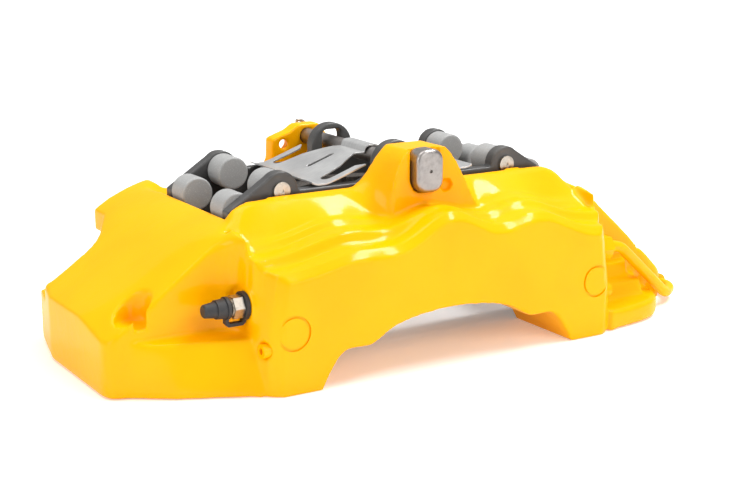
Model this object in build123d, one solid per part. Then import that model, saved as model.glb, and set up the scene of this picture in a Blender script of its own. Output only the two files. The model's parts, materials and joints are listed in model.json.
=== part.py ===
from build123d import *
import os
from math import exp

os.makedirs("parts", exist_ok=True)

# A fixed, opposed-piston brake caliper: one casting, three pistons a side, two pads.
# Frame, in mm: X runs along the caliper, Y along the wheel axle with the wheel-side
# face towards -Y, and Z points away from the axle.  The origin is half way along the
# caliper, on the middle plane of the disc, level with the mounting face.
# Left means -X, the end with the bleed screws.  Right means +X, the crossover pipe's end.

OUTER = -1
INNER = 1
SIDES = {"outer": OUTER, "inner": INNER}
ENDS = {"left": -1, "right": 1}

# ---- disc that the caliper straddles
DISC_RADIUS = 175.0
DISC_THICKNESS = 36.0
DISC_RADIAL_GAP = 3.0
DISC_SIDE_GAP = 2.0
AXLE_DROP = 96.0

# ---- pads
PAD_HALF_LENGTH = 96.5
PAD_BOTTOM_MIDDLE = 22.0
PAD_BOTTOM_END = 5.0
PAD_SHOULDER = 78.0
PAD_TOP = 85.0
PLATE_THICKNESS = 6.5
LINING_THICKNESS = 11.0
LINING_INSET = 6.0
LINING_BELOW_DISC_EDGE = 3.0
LINING_GROOVE = 3.0
LINING_CHAMFER = 4.0
LINING_GAP = 0.5
SHIM_THICKNESS = 0.8
SHIM_INSET = 10.0
SHIM_TOP = 72.0
PAD_EAR_RADIUS = 12.5
PAD_EAR_SLOT_WIDTH = 12.0
PAD_EAR_SLOT_HEIGHT = 13.0
PAD_EAR_Z = 92.0
PIN_LUG_COVER = 2.6
LOBE_X = 67.5
LOBE_Z = 85.6
LOBE_RADIUS = 9.5

# ---- counterweights riveted to each plate
WEIGHT_RADIUS = 8.5
WEIGHT_LENGTH = 14.0
WEIGHT_CHAMFER = 0.7
END_WEIGHT_Z = 77.0
RIVET_SHANK_RADIUS = 2.8
RIVET_HEAD_RADIUS = 4.5
RIVET_HEAD_HEIGHT = 1.3
RIVET_GRIP = 8.0

# ---- pistons and their bores
PISTON_SPACING = 52.0
MIDDLE_BORE_Z = 53.0
END_BORE_Z = 43.6
BORE_RADII = {"left": 17.0, "middle": 18.0, "right": 19.0}
PISTON_FIT = 0.04
PISTON_LENGTH = 28.0
PISTON_WALL = 4.0
PISTON_CUP_DEPTH = 20.0
PISTON_CHAMFER = 1.2
BORE_RUNOUT = 5.2
SEAL_FROM_MOUTH = 9.0
SEAL_WIDTH = 3.2
SEAL_DEPTH = 3.0
BOOT_FROM_MOUTH = 1.5
BOOT_WIDTH = 3.6
BOOT_DEPTH = 3.4
RING_FIT = 0.05
GALLERY_Z = 41.0
GALLERY_RADIUS = 2.2

# ---- casting
PAD_TO_BORE_FACE = 2.2
ABUTMENT_THICKNESS = 0.8
PAD_END_GAP = 0.2
FRONT_FACE_Y = 88.0
FRONT_ROUND = 4.0
REAR_FACE_Y = 78.0
END_WALL = 6.0
END_WALL_DRAFT = 7.0
END_WALL_KNEE_Z = 24.0
LEFT_REACH = 69.5
RIGHT_REACH = 71.5
WINDOW_RIM_Z = 76.0
END_TOP_Z = {"left": 33.0, "right": 22.0}
BLOCK_FRONT_Y = 54.0
BLOCK_REAR_Y = 71.0
FOOT_HALF_WIDTH = 74.0
FOOT_HEIGHT = 17.5
ARCH_HEIGHT = 29.5

# ---- mounting
MOUNT_X = 143.0
MOUNT_Y = 50.0
MOUNT_HOLE_RADIUS = 6.25
MOUNT_FACE_RADIUS = 14.0
MOUNT_FACE_Z = 27.0
LIGHTENING_X = 150.0
LIGHTENING_Y = -44.0
LIGHTENING_RADIUS = 8.5
LIGHTENING_FLOOR_Z = 32.0

# ---- retaining pin, its boss and the lock plate behind
PIN_X = -1.0
PIN_Z = 93.5
PIN_RADIUS = 4.25
PIN_FIT = 0.05
PIN_HEAD_HEIGHT = 21.5
PIN_HEAD_WIDTH = 15.5
PIN_HEAD_CORNER = 6.0
PIN_HEAD_LENGTH = 9.5
PIN_HEAD_ROUND = 2.0
PIN_DIMPLE_RADIUS = 0.9
PIN_DIMPLE_DEPTH = 1.2
PIN_SEAT_Y = 58.0
PIN_SEAT_GAP = 0.4
BOSS_FACE_Y = 62.0
BOSS_TOP = 104.0
LUG_NEAR_Y = 57.0
LUG_THICKNESS = 9.0
CLIP_WIRE_RADIUS = 0.9
CLIP_FIT = 0.15

# ---- pad spring
SPRING_THICKNESS = 0.8
SPRING_GAP = 0.35
SPRING_HALF_LENGTH = 48.0
SPRING_FOOT_X = 40.0
SPRING_SHOULDER_X = 11.0
SPRING_SADDLE_X = 6.5
SPRING_SADDLE_DROP = 3.6
SPRING_HALF_WIDTH = 20.0
SPRING_WAIST = 12.0
SPRING_SLOT_LENGTH = 17.0
SPRING_SLOT_WIDTH = 2.6

# ---- hydraulics outside the casting
PORT_SCREW_RADIUS = 5.0
PORT_DEPTH = 12.0
THREAD_FIT = 0.05
SCREW_HEX = 10.0
SCREW_HEX_LENGTH = 5.0
NIPPLE_RADIUS = 3.4
NIPPLE_LENGTH = 11.0
CAP_WALL = 1.3
CAP_FIT = 0.1
STRAP_WIDTH = 3.2
STRAP_THICKNESS = 1.6
PIPE_RADIUS = 3.0
PIPE_BORE_RADIUS = 1.9
NUT_HEX = 12.0
NUT_HEX_LENGTH = 9.0
SLEEVE_RADIUS = 5.2
SLEEVE_BORE_GAP = 0.1
PIPE_TO_END_FACE = 1.8
PIPE_HEIGHT = 6.0
INLET_X = 84.0
INLET_RADIUS = 5.0
INLET_BOSS_RADIUS = 10.0
INLET_BOSS_HEIGHT = 3.0
PLUG_RADIUS = 3.5
PLUG_LENGTH = 6.0

STRAP_RING_WIDTH = 1.8
STRAP_DROP = 9.0
SLEEVE_FROM_CORNER = 14.0

# ---- slopes at the two ends: shares of the slope's reach and of its fall
SLOPE_SHAPE = [(0.25, 0.18), (0.5, 0.45), (0.75, 0.74), (1.0, 1.0)]
REAR_CORNER_Y = {"left": 23.0, "right": 36.0}
FACET_FALL = 7.0
FACET_REACH_Y = -19.0
CORNER_FILL = 14.0
NOTCH_X = 123.0
RECESS_TOP = 52.0
BLOCK_CORNER = 7.0
FLANGE_HEIGHT = 26.0
FLANGE_KNEE = 28.0

# ---- low steps at the right end
LEDGE_HEIGHT = 11.0
LEDGE_FROM_END = 17.0
STEP_HEIGHT = 9.0
STEP_FROM_END = 30.0
STEP_BACK = 6.0
STEP_DEPTHS = (66.0, 60.0)
STEP_DRAFT = 2.0

# ---- bosses, pots and small machined features
END_ROUND = 8.0
PORT_BOSS_RADIUS = 8.0
PORT_BOSS_BACK = 12.0
PORT_FACE_RADIUS = 10.5
POT_WALL = 7.0
POT_PROUD = 2.0
PIN_LUG_REACH = 23.0
SIDE_HOLE_INSET = 7.0
SIDE_HOLE_DROP = 3.5
SIDE_HOLE_RADIUS = 2.4
SIDE_FACE_RADIUS = 4.2
RELIEF_RADIUS = 3.4
RELIEF_DEPTH = 3.0
RING_DEPTH = 1.2
RING_OUTER = 8.5
RING_INNER = 7.2
RING_FROM_END = 14.5
RING_Z = 30.0
RING_WIPE = 0.02
PLUG_Y = 81.0
PLUG_Z = 22.0
PLUG_SINK = 0.4
PLUG_SOCKET = 3.0
INLET_DEPTH = 9.0

# ---- where the smaller pieces lie
ABUTMENT_NEAR_Y = 20.5
ABUTMENT_BOTTOM = 5.0
ABUTMENT_TOP = 72.0
ABUTMENT_TAB_Z = 58.0
ABUTMENT_TAB_WIDTH = 9.0
ABUTMENT_TAB_LENGTH = 3.5
ABUTMENT_FIT = 0.02
SPRING_FOOT_Y = 34.0
PAD_EAR_SLOT_RISE = 1.0
PIN_END_Y = 73.0
CLIP_Y = 69.5

# ---- sizes that follow from the ones above
SLOT_RADIUS = DISC_RADIUS + DISC_RADIAL_GAP
SLOT_HALF_WIDTH = DISC_THICKNESS / 2 + DISC_SIDE_GAP
LINING_FACE_Y = DISC_THICKNESS / 2 + LINING_GAP
PLATE_FACE_Y = LINING_FACE_Y + LINING_THICKNESS
PLATE_BACK_Y = PLATE_FACE_Y + PLATE_THICKNESS
SHIM_BACK_Y = PLATE_BACK_Y + SHIM_THICKNESS
BORE_FACE_Y = SHIM_BACK_Y + PAD_TO_BORE_FACE
PISTON_END_Y = SHIM_BACK_Y + PISTON_LENGTH
BORE_END_Y = PISTON_END_Y + BORE_RUNOUT
GALLERY_Y = (PISTON_END_Y + BORE_END_Y) / 2
POCKET_HALF_LENGTH = PAD_HALF_LENGTH + PAD_END_GAP + ABUTMENT_THICKNESS
END_WALL_X = POCKET_HALF_LENGTH + END_WALL
END_FACE_X = {"left": POCKET_HALF_LENGTH + LEFT_REACH, "right": POCKET_HALF_LENGTH + RIGHT_REACH}
PORT_X = END_WALL_X + 0.5
PISTONS = {
    "left": (-PISTON_SPACING, END_BORE_Z),
    "middle": (0.0, MIDDLE_BORE_Z),
    "right": (PISTON_SPACING, END_BORE_Z),
}


def solid_along_y(outline, y_low, y_high):
    """A solid whose outline is drawn in X and Z, between two Y values."""
    return extrude(Plane.XZ.offset(-y_high) * outline, amount=y_high - y_low)


def solid_along_z(outline, z_low, z_high):
    """A solid whose outline is drawn in X and Y, between two Z values."""
    return Pos(0, 0, z_low) * extrude(outline, amount=z_high - z_low)


def between_y(outline, side, near, far):
    """A solid along Y on one side of the disc, from near to far from its middle plane."""
    return solid_along_y(outline, min(side * near, side * far), max(side * near, side * far))


def rod_x(x_low, x_high, y, z, radius):
    """A round rod along X."""
    return Pos((x_low + x_high) / 2, y, z) * Rot(0, 90, 0) * Cylinder(radius, x_high - x_low)


def rod_y(x, y_low, y_high, z, radius):
    """A round rod along Y."""
    return Pos(x, (y_low + y_high) / 2, z) * Rot(90, 0, 0) * Cylinder(radius, y_high - y_low)


def rod_z(x, y, z_low, z_high, radius):
    """A round rod along Z."""
    return Pos(x, y, (z_low + z_high) / 2) * Cylinder(radius, z_high - z_low)


def polygon_face(*points):
    """A flat face from its corners in order."""
    return make_face(Polyline(*points, close=True))


def bump(x, centre, spread):
    """A smooth hump of height 1."""
    return exp(-((x - centre) / spread) ** 2 / 2)


# ---------------------------------------------------------------- the casting
# The wavy top of the wheel-side half climbs in three steps from the flat face to the window's
# wall.  Each row is one line along it, crest or valley: how far it lies from the disc's middle
# plane, how far its ends stand in from the end wall, its level, and its rise over the left,
# middle and right bore.
CRESTS = [
    (FRONT_FACE_Y, 12.0, 53.5, 6.0, 19.0, 13.0),
    (FRONT_FACE_Y - FRONT_ROUND, 8.0, 57.5, 6.0, 19.0, 13.0),
    (76.0, 5.0, 58.5, 6.5, 18.0, 12.5),
    (72.5, 1.5, 63.0, 7.5, 14.5, 11.2),
    (64.0, 0.5, 63.8, 7.4, 12.0, 10.0),
    (61.0, 0.0, 66.5, 7.5, 9.5, 8.5),
]
CREST_SPREAD = 17.0
RIM_Z = 84.0
RIM_KNEE_X = 93.0
RIM_SOFTNESS = 2.5
RIM_DROP = 7.5
WALL_FOOT_Y = 57.0
WALL_TOP_Y = 44.0
CREST_POINTS = 21


def crest_height(x, level, rises):
    """Height of a wavy crest line: a hump over each bore."""
    centres = [PISTONS[name][0] for name in PISTONS]
    return level + sum(rise * bump(x, centre, CREST_SPREAD) for rise, centre in zip(rises, centres))


def rim_height(x, lowered):
    """Height of the window's rim, which dips at the two ends."""
    knee = RIM_KNEE_X * END_WALL_X / (RIM_KNEE_X + END_WALL + END_WALL / 2)
    return RIM_Z - lowered - RIM_DROP / (1 + exp((knee - abs(x)) / RIM_SOFTNESS))


def arch_edges(half_length, lift=0.0):
    """Underside from one foot to the other: flat feet and the arch between them."""
    foot = FOOT_HALF_WIDTH + lift
    arch = Spline(
        (-foot, 0),
        (-foot + 5, 9),
        (-foot + 14, FOOT_HEIGHT),
        (-foot + 26, FOOT_HEIGHT),
        (-0.53 * foot, 0.75 * ARCH_HEIGHT),
        (-0.27 * foot, 0.95 * ARCH_HEIGHT),
        (0, ARCH_HEIGHT),
        (0.27 * foot, 0.95 * ARCH_HEIGHT),
        (0.53 * foot, 0.75 * ARCH_HEIGHT),
        (foot - 26, FOOT_HEIGHT),
        (foot - 14, FOOT_HEIGHT),
        (foot - 5, 9),
        (foot, 0),
    )
    return [Line((-half_length, 0), (-foot, 0)), arch, Line((foot, 0), (half_length, 0))]


def half_section(height_at, y, end_inset, inset=0.0):
    """One section of a caliper half across Y: feet, arch, end walls and a top line."""
    half = END_WALL_X - inset
    top_half = END_WALL_X - end_inset
    xs = [top_half * (2 * i / (CREST_POINTS - 1) - 1) for i in range(CREST_POINTS)]
    top = Spline(*[(x, height_at(x)) for x in xs])
    left = Polyline((-half, 0), (-half, END_WALL_KNEE_Z), (-top_half, height_at(-top_half)))
    right = Polyline((half, 0), (half, END_WALL_KNEE_Z), (top_half, height_at(top_half)))
    face = make_face(arch_edges(half) + [top] + list(left.edges()) + list(right.edges()))
    return Plane.XZ.offset(-y) * face


def front_half():
    """The wheel-side half, lofted through its crest lines."""
    sections = []
    for index, (distance, end_inset, level, *rises) in enumerate(CRESTS):
        inset = (END_ROUND, END_ROUND / 3)[index] if index < 2 else 0.0
        sections.append(half_section(lambda x: crest_height(x, level, rises), -distance, end_inset, inset))
    foot_level, foot_rises = CRESTS[-1][2] + 1.0, CRESTS[-1][3:]
    sections.append(half_section(lambda x: crest_height(x, foot_level, foot_rises), -WALL_FOOT_Y, 1.0))
    sections.append(half_section(lambda x: rim_height(x, 1.5), -WALL_TOP_Y, 4.0))
    sections.append(half_section(lambda x: rim_height(x, 0.0), -BORE_FACE_Y, 4.0))
    return loft(sections, ruled=True)


def inner_half():
    """The car-side half, with a round pot over each bore and the lug for the pin."""
    sections = [
        half_section(lambda x: crest_height(x, 75.0, (2.0, 4.0, 3.0)), BORE_FACE_Y, 4.0),
        half_section(lambda x: crest_height(x, 73.0, (3.0, 5.0, 4.0)), LUG_NEAR_Y, 4.0),
        half_section(lambda x: crest_height(x, 60.0, (7.0, 14.0, 9.0)), REAR_FACE_Y - FRONT_ROUND, 5.0),
        half_section(lambda x: crest_height(x, 54.0, (7.0, 14.0, 9.0)), REAR_FACE_Y, 9.0, FRONT_ROUND),
    ]
    half = loft(sections, ruled=True)
    for name, (x, z) in PISTONS.items():
        half += rod_y(x, BORE_FACE_Y + POT_WALL, REAR_FACE_Y + POT_PROUD, z, BORE_RADII[name] + POT_WALL)
    inlet_face = REAR_FACE_Y + INLET_BOSS_HEIGHT
    half += rod_y(INLET_X, LUG_NEAR_Y, inlet_face, GALLERY_Z, INLET_BOSS_RADIUS)
    return half + pin_lug()


def pin_lug():
    """Upright lug on the car-side half that takes the far end of the retaining pin."""
    over_pin = PIN_Z + PIN_RADIUS + PIN_LUG_COVER
    outline = polygon_face(
        (-PIN_LUG_REACH - 9, RIM_Z - 14),
        (-PIN_LUG_REACH - 1, RIM_Z - 3),
        (-PIN_LUG_REACH, PIN_Z),
        (PIN_X - 11, PIN_Z + 3.5),
        (PIN_X - 6, over_pin),
        (PIN_X + 7, over_pin),
        (PIN_X + 13, PIN_Z),
        (PIN_X + 21, RIM_Z - 14),
    )
    return solid_along_y(outline, LUG_NEAR_Y, LUG_NEAR_Y + LUG_THICKNESS)


def boss_section(y, foot_z, left, right):
    """One section of the pin's boss: a flank each side of a flat top."""
    top_left = (PIN_X - 9, BOSS_TOP)
    top_right = (PIN_X + 12, BOSS_TOP)
    outline = [
        Line((left[0][0], foot_z), left[0]),
        Spline(*left, top_left),
        Line(top_left, top_right),
        Spline(top_right, *right),
        Line(right[-1], (right[-1][0], foot_z)),
        Line((right[-1][0], foot_z), (left[0][0], foot_z)),
    ]
    return Plane.XZ.offset(-y) * make_face(outline)


def pin_boss():
    """Boss on the wheel-side half that the pin's head sits in."""
    foot = RIM_Z - 26
    rear_left = [(-37, RIM_Z - 1), (-27, RIM_Z + 2), (-19, PIN_Z + 1)]
    rear_right = [(20, PIN_Z + 2), (27, RIM_Z + 3), (37, RIM_Z - 1)]
    front_left = [(-20, RIM_Z - 14), (-19, RIM_Z + 3), (-15.5, PIN_Z + 5)]
    front_right = [(17, PIN_Z + 4), (24, RIM_Z + 1), (33, RIM_Z - 14)]
    sections = [
        boss_section(-BORE_FACE_Y, foot, rear_left, rear_right),
        boss_section(-WALL_TOP_Y, foot, rear_left, rear_right),
        boss_section(-BOSS_FACE_Y, foot, front_left, front_right),
    ]
    return loft(sections, ruled=True)


def port_bosses():
    """Round bosses that the four ports in the end walls are faced on."""
    bosses = []
    for sign in ENDS.values():
        low, high = sorted((sign * (PORT_X - PORT_BOSS_BACK), sign * PORT_X))
        for side_sign in SIDES.values():
            bosses.append(rod_x(low, high, side_sign * GALLERY_Y, GALLERY_Z, PORT_BOSS_RADIUS))
    return bosses


def corner_fill(end):
    """Wide round inside corner between an end block's side and the wheel-side half's end wall."""
    sign = ENDS[end]
    wall = END_WALL_X - 2
    reach = END_WALL_X + CORNER_FILL
    front = BLOCK_FRONT_Y + CORNER_FILL
    square = polygon_face(
        (sign * wall, -BLOCK_FRONT_Y + 2),
        (sign * reach, -BLOCK_FRONT_Y + 2),
        (sign * reach, -front),
        (sign * wall, -front),
    )
    round_space = Pos(sign * reach, -front) * Circle(CORNER_FILL)
    return solid_along_z(square - round_space, 0, WINDOW_RIM_Z) - slope_facet(end)


def bridge(end):
    """One end of the casting: the slope from the window down to the end face."""
    sign = ENDS[end]
    reach = END_FACE_X[end] - POCKET_HALF_LENGTH
    fall = WINDOW_RIM_Z - END_TOP_Z[end]
    start = POCKET_HALF_LENGTH - END_WALL_DRAFT
    points = [(start, WINDOW_RIM_Z + 1)]
    points += [(POCKET_HALF_LENGTH + t * reach, WINDOW_RIM_Z - f * fall) for t, f in SLOPE_SHAPE]
    slope = Spline(*[(sign * x, z) for x, z in points])
    far = sign * END_FACE_X[end]
    near = sign * start
    side = make_face(
        [
            slope,
            Line((far, END_TOP_Z[end]), (far, 0)),
            Line((far, 0), (near, 0)),
            Line((near, 0), (near, WINDOW_RIM_Z + 1)),
        ]
    )
    block = solid_along_y(side, -BLOCK_FRONT_Y, BLOCK_REAR_Y)
    reach_x = END_FACE_X[end]
    corner = REAR_CORNER_Y[end]
    plan = [
        (start - 1, -WALL_TOP_Y),
        (POCKET_HALF_LENGTH + 1, -WALL_TOP_Y - 1),
        (POCKET_HALF_LENGTH + 7, -WALL_TOP_Y - 6),
        (POCKET_HALF_LENGTH + 16, -BLOCK_FRONT_Y),
        (reach_x, -BLOCK_FRONT_Y + 2),
        (reach_x, corner),
        (MOUNT_X + MOUNT_FACE_RADIUS + 2, MOUNT_Y + 8),
        (MOUNT_X + 3, MOUNT_Y + MOUNT_FACE_RADIUS + 5),
        (MOUNT_X - 12, BLOCK_REAR_Y),
        (start - 1, BLOCK_REAR_Y),
    ]
    outline = polygon_face(*[(sign * x, y) for x, y in plan])
    front_corner = outline.vertices().sort_by_distance((sign * reach_x, -BLOCK_FRONT_Y, 0))[0]
    block &= solid_along_z(fillet(front_corner, BLOCK_CORNER), -1, BOSS_TOP)
    block -= slope_facet(end)
    return block - mount_clearance(end)


def slope_facet(end):
    """The part above the tilted facet that falls from the slope's crease to the front edge."""
    sign = ENDS[end]
    top = END_TOP_Z[end]
    start = Vector(sign * POCKET_HALF_LENGTH, -BLOCK_FRONT_Y, WINDOW_RIM_Z + 3)
    crease = Vector(sign * END_FACE_X[end], FACET_REACH_Y, top)
    front = Vector(sign * END_FACE_X[end], -BLOCK_FRONT_Y, top - FACET_FALL)
    along = crease - start
    normal = along.cross(front - start)
    if normal.Z < 0:
        normal = normal * -1
    tilted = Plane(origin=start, x_dir=along, z_dir=normal)
    return tilted * Pos(0, 0, END_FACE_X[end]) * Box(*[2 * END_FACE_X[end]] * 3)


def mount_clearance(end):
    """Space above the mounting lug and, under the slope's rear part, in front of the inner port."""
    sign = ENDS[end]
    far = END_FACE_X[end] + 1
    rear = BLOCK_REAR_Y + 10
    port_side = GALLERY_Y - PORT_FACE_RADIUS
    outline = polygon_face(
        (sign * NOTCH_X, rear),
        (sign * NOTCH_X, port_side),
        (sign * (MOUNT_X - MOUNT_FACE_RADIUS * 0.7), MOUNT_Y - MOUNT_FACE_RADIUS * 0.7),
        (sign * MOUNT_X, MOUNT_Y - MOUNT_FACE_RADIUS),
        (sign * far, MOUNT_Y - MOUNT_FACE_RADIUS * 0.9),
        (sign * far, rear),
    )
    recess = polygon_face(
        (sign * PORT_X, rear),
        (sign * PORT_X, port_side),
        (sign * (NOTCH_X + 1), port_side),
        (sign * (NOTCH_X + 1), rear),
    )
    floor = rod_z(sign * MOUNT_X, MOUNT_Y, MOUNT_FACE_Z, BOSS_TOP, MOUNT_FACE_RADIUS)
    space = solid_along_z(outline, MOUNT_FACE_Z, BOSS_TOP) + floor
    return space + solid_along_z(recess, MOUNT_FACE_Z, RECESS_TOP)


def left_flange():
    """Filler between the left end block and the wheel-side half's end wall."""
    wall = -(END_WALL_X - 1)
    far = -(END_FACE_X["left"] - BLOCK_CORNER - 1)
    knee = -(END_FACE_X["left"] - FLANGE_KNEE)
    bottom = polygon_face((far, -BLOCK_FRONT_Y + 2), (knee, -66), (wall, -83), (wall, -45), (far, -45))
    top = polygon_face((far, -BLOCK_FRONT_Y + 3), (knee, -61), (wall, -74), (wall, -44), (far, -44))
    return loft([bottom, Pos(0, 0, FLANGE_HEIGHT) * top], ruled=True)


def right_terraces():
    """Three low steps between the wheel-side half and the right end block."""
    wall = END_WALL_X - 1
    far = END_FACE_X["right"]
    tip = far - LEDGE_FROM_END
    rounded = Spline((tip, -52), (tip - 2, -66), (tip - 12, -77), (tip - 30, -83), (wall, -86))
    ledge = make_face(
        [
            rounded,
            Line((wall, -86), (wall, -45)),
            Line((wall, -45), (tip, -45)),
            Line((tip, -45), (tip, -52)),
        ]
    )
    steps = solid_along_z(ledge, 0, LEDGE_HEIGHT)
    for index, depth in enumerate(STEP_DEPTHS):
        low = LEDGE_HEIGHT + index * STEP_HEIGHT
        edge = far - STEP_FROM_END - STEP_BACK * index
        wide = depth + STEP_DRAFT
        lower = polygon_face((wall, -wide), (edge, -wide), (edge + 8, -50), (wall, -50))
        upper = polygon_face((wall, -depth), (edge, -depth), (edge + 8, -49), (wall, -49))
        steps += loft([Pos(0, 0, low) * lower, Pos(0, 0, low + STEP_HEIGHT) * upper], ruled=True)
    return steps


def groove_ring(x, z):
    """The shallow ring groove round each disc on the wheel-side face."""
    ring = rod_y(x, -FRONT_FACE_Y - 1, -FRONT_FACE_Y + RING_DEPTH, z, RING_OUTER)
    return ring - rod_y(x, -FRONT_FACE_Y - 2, -FRONT_FACE_Y + RING_DEPTH + 1, z, RING_INNER)


def bore_cuts():
    """Six stepped bores with their seal and dust-ring grooves, and the drillings between them."""
    cuts = []
    for sign in SIDES.values():
        for name, (x, z) in PISTONS.items():
            radius = BORE_RADII[name]
            cuts.append(between_y(Pos(x, z) * Circle(radius), sign, BORE_FACE_Y - 1, BORE_END_Y))
            seal = BORE_FACE_Y + SEAL_FROM_MOUTH
            cuts.append(between_y(Pos(x, z) * Circle(radius + SEAL_DEPTH), sign, seal, seal + SEAL_WIDTH))
            boot = BORE_FACE_Y + BOOT_FROM_MOUTH
            cuts.append(between_y(Pos(x, z) * Circle(radius + BOOT_DEPTH), sign, boot, boot + BOOT_WIDTH))
    wall = PORT_X
    for sign in SIDES.values():
        cuts.append(rod_x(-wall, wall, sign * GALLERY_Y, GALLERY_Z, GALLERY_RADIUS))
        for end_sign in ENDS.values():
            low, high = sorted((end_sign * (wall - PORT_DEPTH), end_sign * (wall + PORT_DEPTH)))
            cuts.append(rod_x(low, high, sign * GALLERY_Y, GALLERY_Z, PORT_SCREW_RADIUS))
            low, high = sorted((end_sign * wall, end_sign * (wall + 2 * CORNER_FILL)))
            cuts.append(rod_x(low, high, sign * GALLERY_Y, GALLERY_Z, PORT_FACE_RADIUS))
    inlet_face = REAR_FACE_Y + INLET_BOSS_HEIGHT
    cuts.append(rod_y(INLET_X, inlet_face - INLET_DEPTH, inlet_face + 1, GALLERY_Z, INLET_RADIUS))
    cuts.append(rod_y(INLET_X, GALLERY_Y, inlet_face, GALLERY_Z, GALLERY_RADIUS))
    return cuts


def pin_cuts():
    """Seat, hole and finger relief for the pin, and the small hole beside it in the lug."""
    hole = rod_y(PIN_X, -FRONT_FACE_Y, LUG_NEAR_Y + LUG_THICKNESS + 1, PIN_Z, PIN_RADIUS + PIN_FIT)
    seat_width = PIN_HEAD_WIDTH + 2 * PIN_SEAT_GAP
    seat = Pos(PIN_X, PIN_Z) * pin_head_outline(PIN_SEAT_GAP)
    seat += Pos(PIN_X, PIN_Z + BOSS_TOP / 2) * Rectangle(seat_width, BOSS_TOP)
    relief_x = PIN_X + PIN_HEAD_WIDTH / 2 + 5
    relief = rod_y(relief_x, -BOSS_FACE_Y - 1, -BOSS_FACE_Y + RELIEF_DEPTH, PIN_Z - 9, RELIEF_RADIUS)
    side_x = -PIN_LUG_REACH + SIDE_HOLE_INSET
    side_z = PIN_Z - SIDE_HOLE_DROP
    lug_back = LUG_NEAR_Y + LUG_THICKNESS + 1
    side_hole = rod_y(side_x, LUG_NEAR_Y - 1, lug_back, side_z, SIDE_HOLE_RADIUS)
    side_face = rod_y(side_x, LUG_NEAR_Y + LUG_THICKNESS / 3, lug_back, side_z, SIDE_FACE_RADIUS)
    return [hole, between_y(seat, OUTER, PIN_SEAT_Y, FRONT_FACE_Y), relief, side_hole, side_face]


def caliper_body():
    """The one-piece casting with all of its machining."""
    body = front_half() + inner_half() + pin_boss() + left_flange() + right_terraces()
    body += port_bosses()
    for end in ENDS:
        body += bridge(end) + corner_fill(end)
    pocket = Pos(0, 0, BOSS_TOP / 2) * Box(2 * POCKET_HALF_LENGTH, 2 * BORE_FACE_Y, 2 * BOSS_TOP)
    slot = rod_y(0, -SLOT_HALF_WIDTH, SLOT_HALF_WIDTH, -AXLE_DROP, SLOT_RADIUS)
    cuts = [pocket, slot]
    for sign in ENDS.values():
        x = sign * MOUNT_X
        cuts.append(rod_z(x, MOUNT_Y, -1, BOSS_TOP, MOUNT_HOLE_RADIUS))
        cuts.append(rod_z(sign * LIGHTENING_X, LIGHTENING_Y, LIGHTENING_FLOOR_Z, BOSS_TOP, LIGHTENING_RADIUS))
        cuts.append(groove_ring(sign * (END_WALL_X - RING_FROM_END), RING_Z))
        low, high = sorted((sign * (END_WALL_X - PLUG_LENGTH), sign * (END_WALL_X + PLUG_LENGTH)))
        cuts.append(rod_x(low, high, -PLUG_Y, PLUG_Z, PLUG_RADIUS))
        for side_sign in SIDES.values():
            cuts.append(abutment_tab(sign, side_sign, ABUTMENT_FIT))
    rear_relief = polygon_face(
        (BORE_FACE_Y - 1, WINDOW_RIM_Z - 8),
        (BORE_FACE_Y - 1, WINDOW_RIM_Z + 20),
        (LUG_NEAR_Y, WINDOW_RIM_Z + 20),
        (LUG_NEAR_Y, WINDOW_RIM_Z - 2),
    )
    width = 2 * POCKET_HALF_LENGTH
    cuts.append(Pos(-POCKET_HALF_LENGTH, 0, 0) * extrude(Plane.YZ * rear_relief, amount=width))
    body -= cuts + bore_cuts() + pin_cuts()
    return body


# ---------------------------------------------------------------- pads
def plate_outline():
    """Outline of a pad's steel plate in X and Z, with its lobes, ear and pin slot."""
    base = make_face(
        [
            ThreePointArc(
                (-PAD_HALF_LENGTH, PAD_BOTTOM_END), (0, PAD_BOTTOM_MIDDLE), (PAD_HALF_LENGTH, PAD_BOTTOM_END)
            ),
            Line((PAD_HALF_LENGTH, PAD_BOTTOM_END), (PAD_HALF_LENGTH, PAD_SHOULDER)),
            Line((PAD_HALF_LENGTH, PAD_SHOULDER), (LOBE_X + 4, LOBE_Z + LOBE_RADIUS - 1)),
            Line((LOBE_X + 4, LOBE_Z + LOBE_RADIUS - 1), (LOBE_X - LOBE_RADIUS, PAD_TOP)),
            Line((LOBE_X - LOBE_RADIUS, PAD_TOP), (-LOBE_X + LOBE_RADIUS, PAD_TOP)),
            Line((-LOBE_X + LOBE_RADIUS, PAD_TOP), (-LOBE_X - 4, LOBE_Z + LOBE_RADIUS - 1)),
            Line((-LOBE_X - 4, LOBE_Z + LOBE_RADIUS - 1), (-PAD_HALF_LENGTH, PAD_SHOULDER)),
            Line((-PAD_HALF_LENGTH, PAD_SHOULDER), (-PAD_HALF_LENGTH, PAD_BOTTOM_END)),
        ]
    )
    neck = polygon_face(
        (PIN_X - 23, PAD_TOP - 1),
        (PIN_X - PAD_EAR_RADIUS + 0.5, PAD_EAR_Z - 3),
        (PIN_X + PAD_EAR_RADIUS - 0.5, PAD_EAR_Z - 3),
        (PIN_X + 23, PAD_TOP - 1),
    )
    plate = base + neck + Pos(PIN_X, PAD_EAR_Z) * Circle(PAD_EAR_RADIUS)
    for sign in ENDS.values():
        plate += Pos(sign * LOBE_X, LOBE_Z) * Circle(LOBE_RADIUS)
    slot = RectangleRounded(PAD_EAR_SLOT_WIDTH, PAD_EAR_SLOT_HEIGHT, 3)
    return plate - Pos(PIN_X, PIN_Z + PAD_EAR_SLOT_RISE) * slot


def weight_places():
    """Centres of the four counterweights on a plate."""
    end_x = PAD_HALF_LENGTH - WEIGHT_RADIUS
    return [(-end_x, END_WEIGHT_Z), (-LOBE_X, LOBE_Z), (LOBE_X, LOBE_Z), (end_x, END_WEIGHT_Z)]


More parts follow.
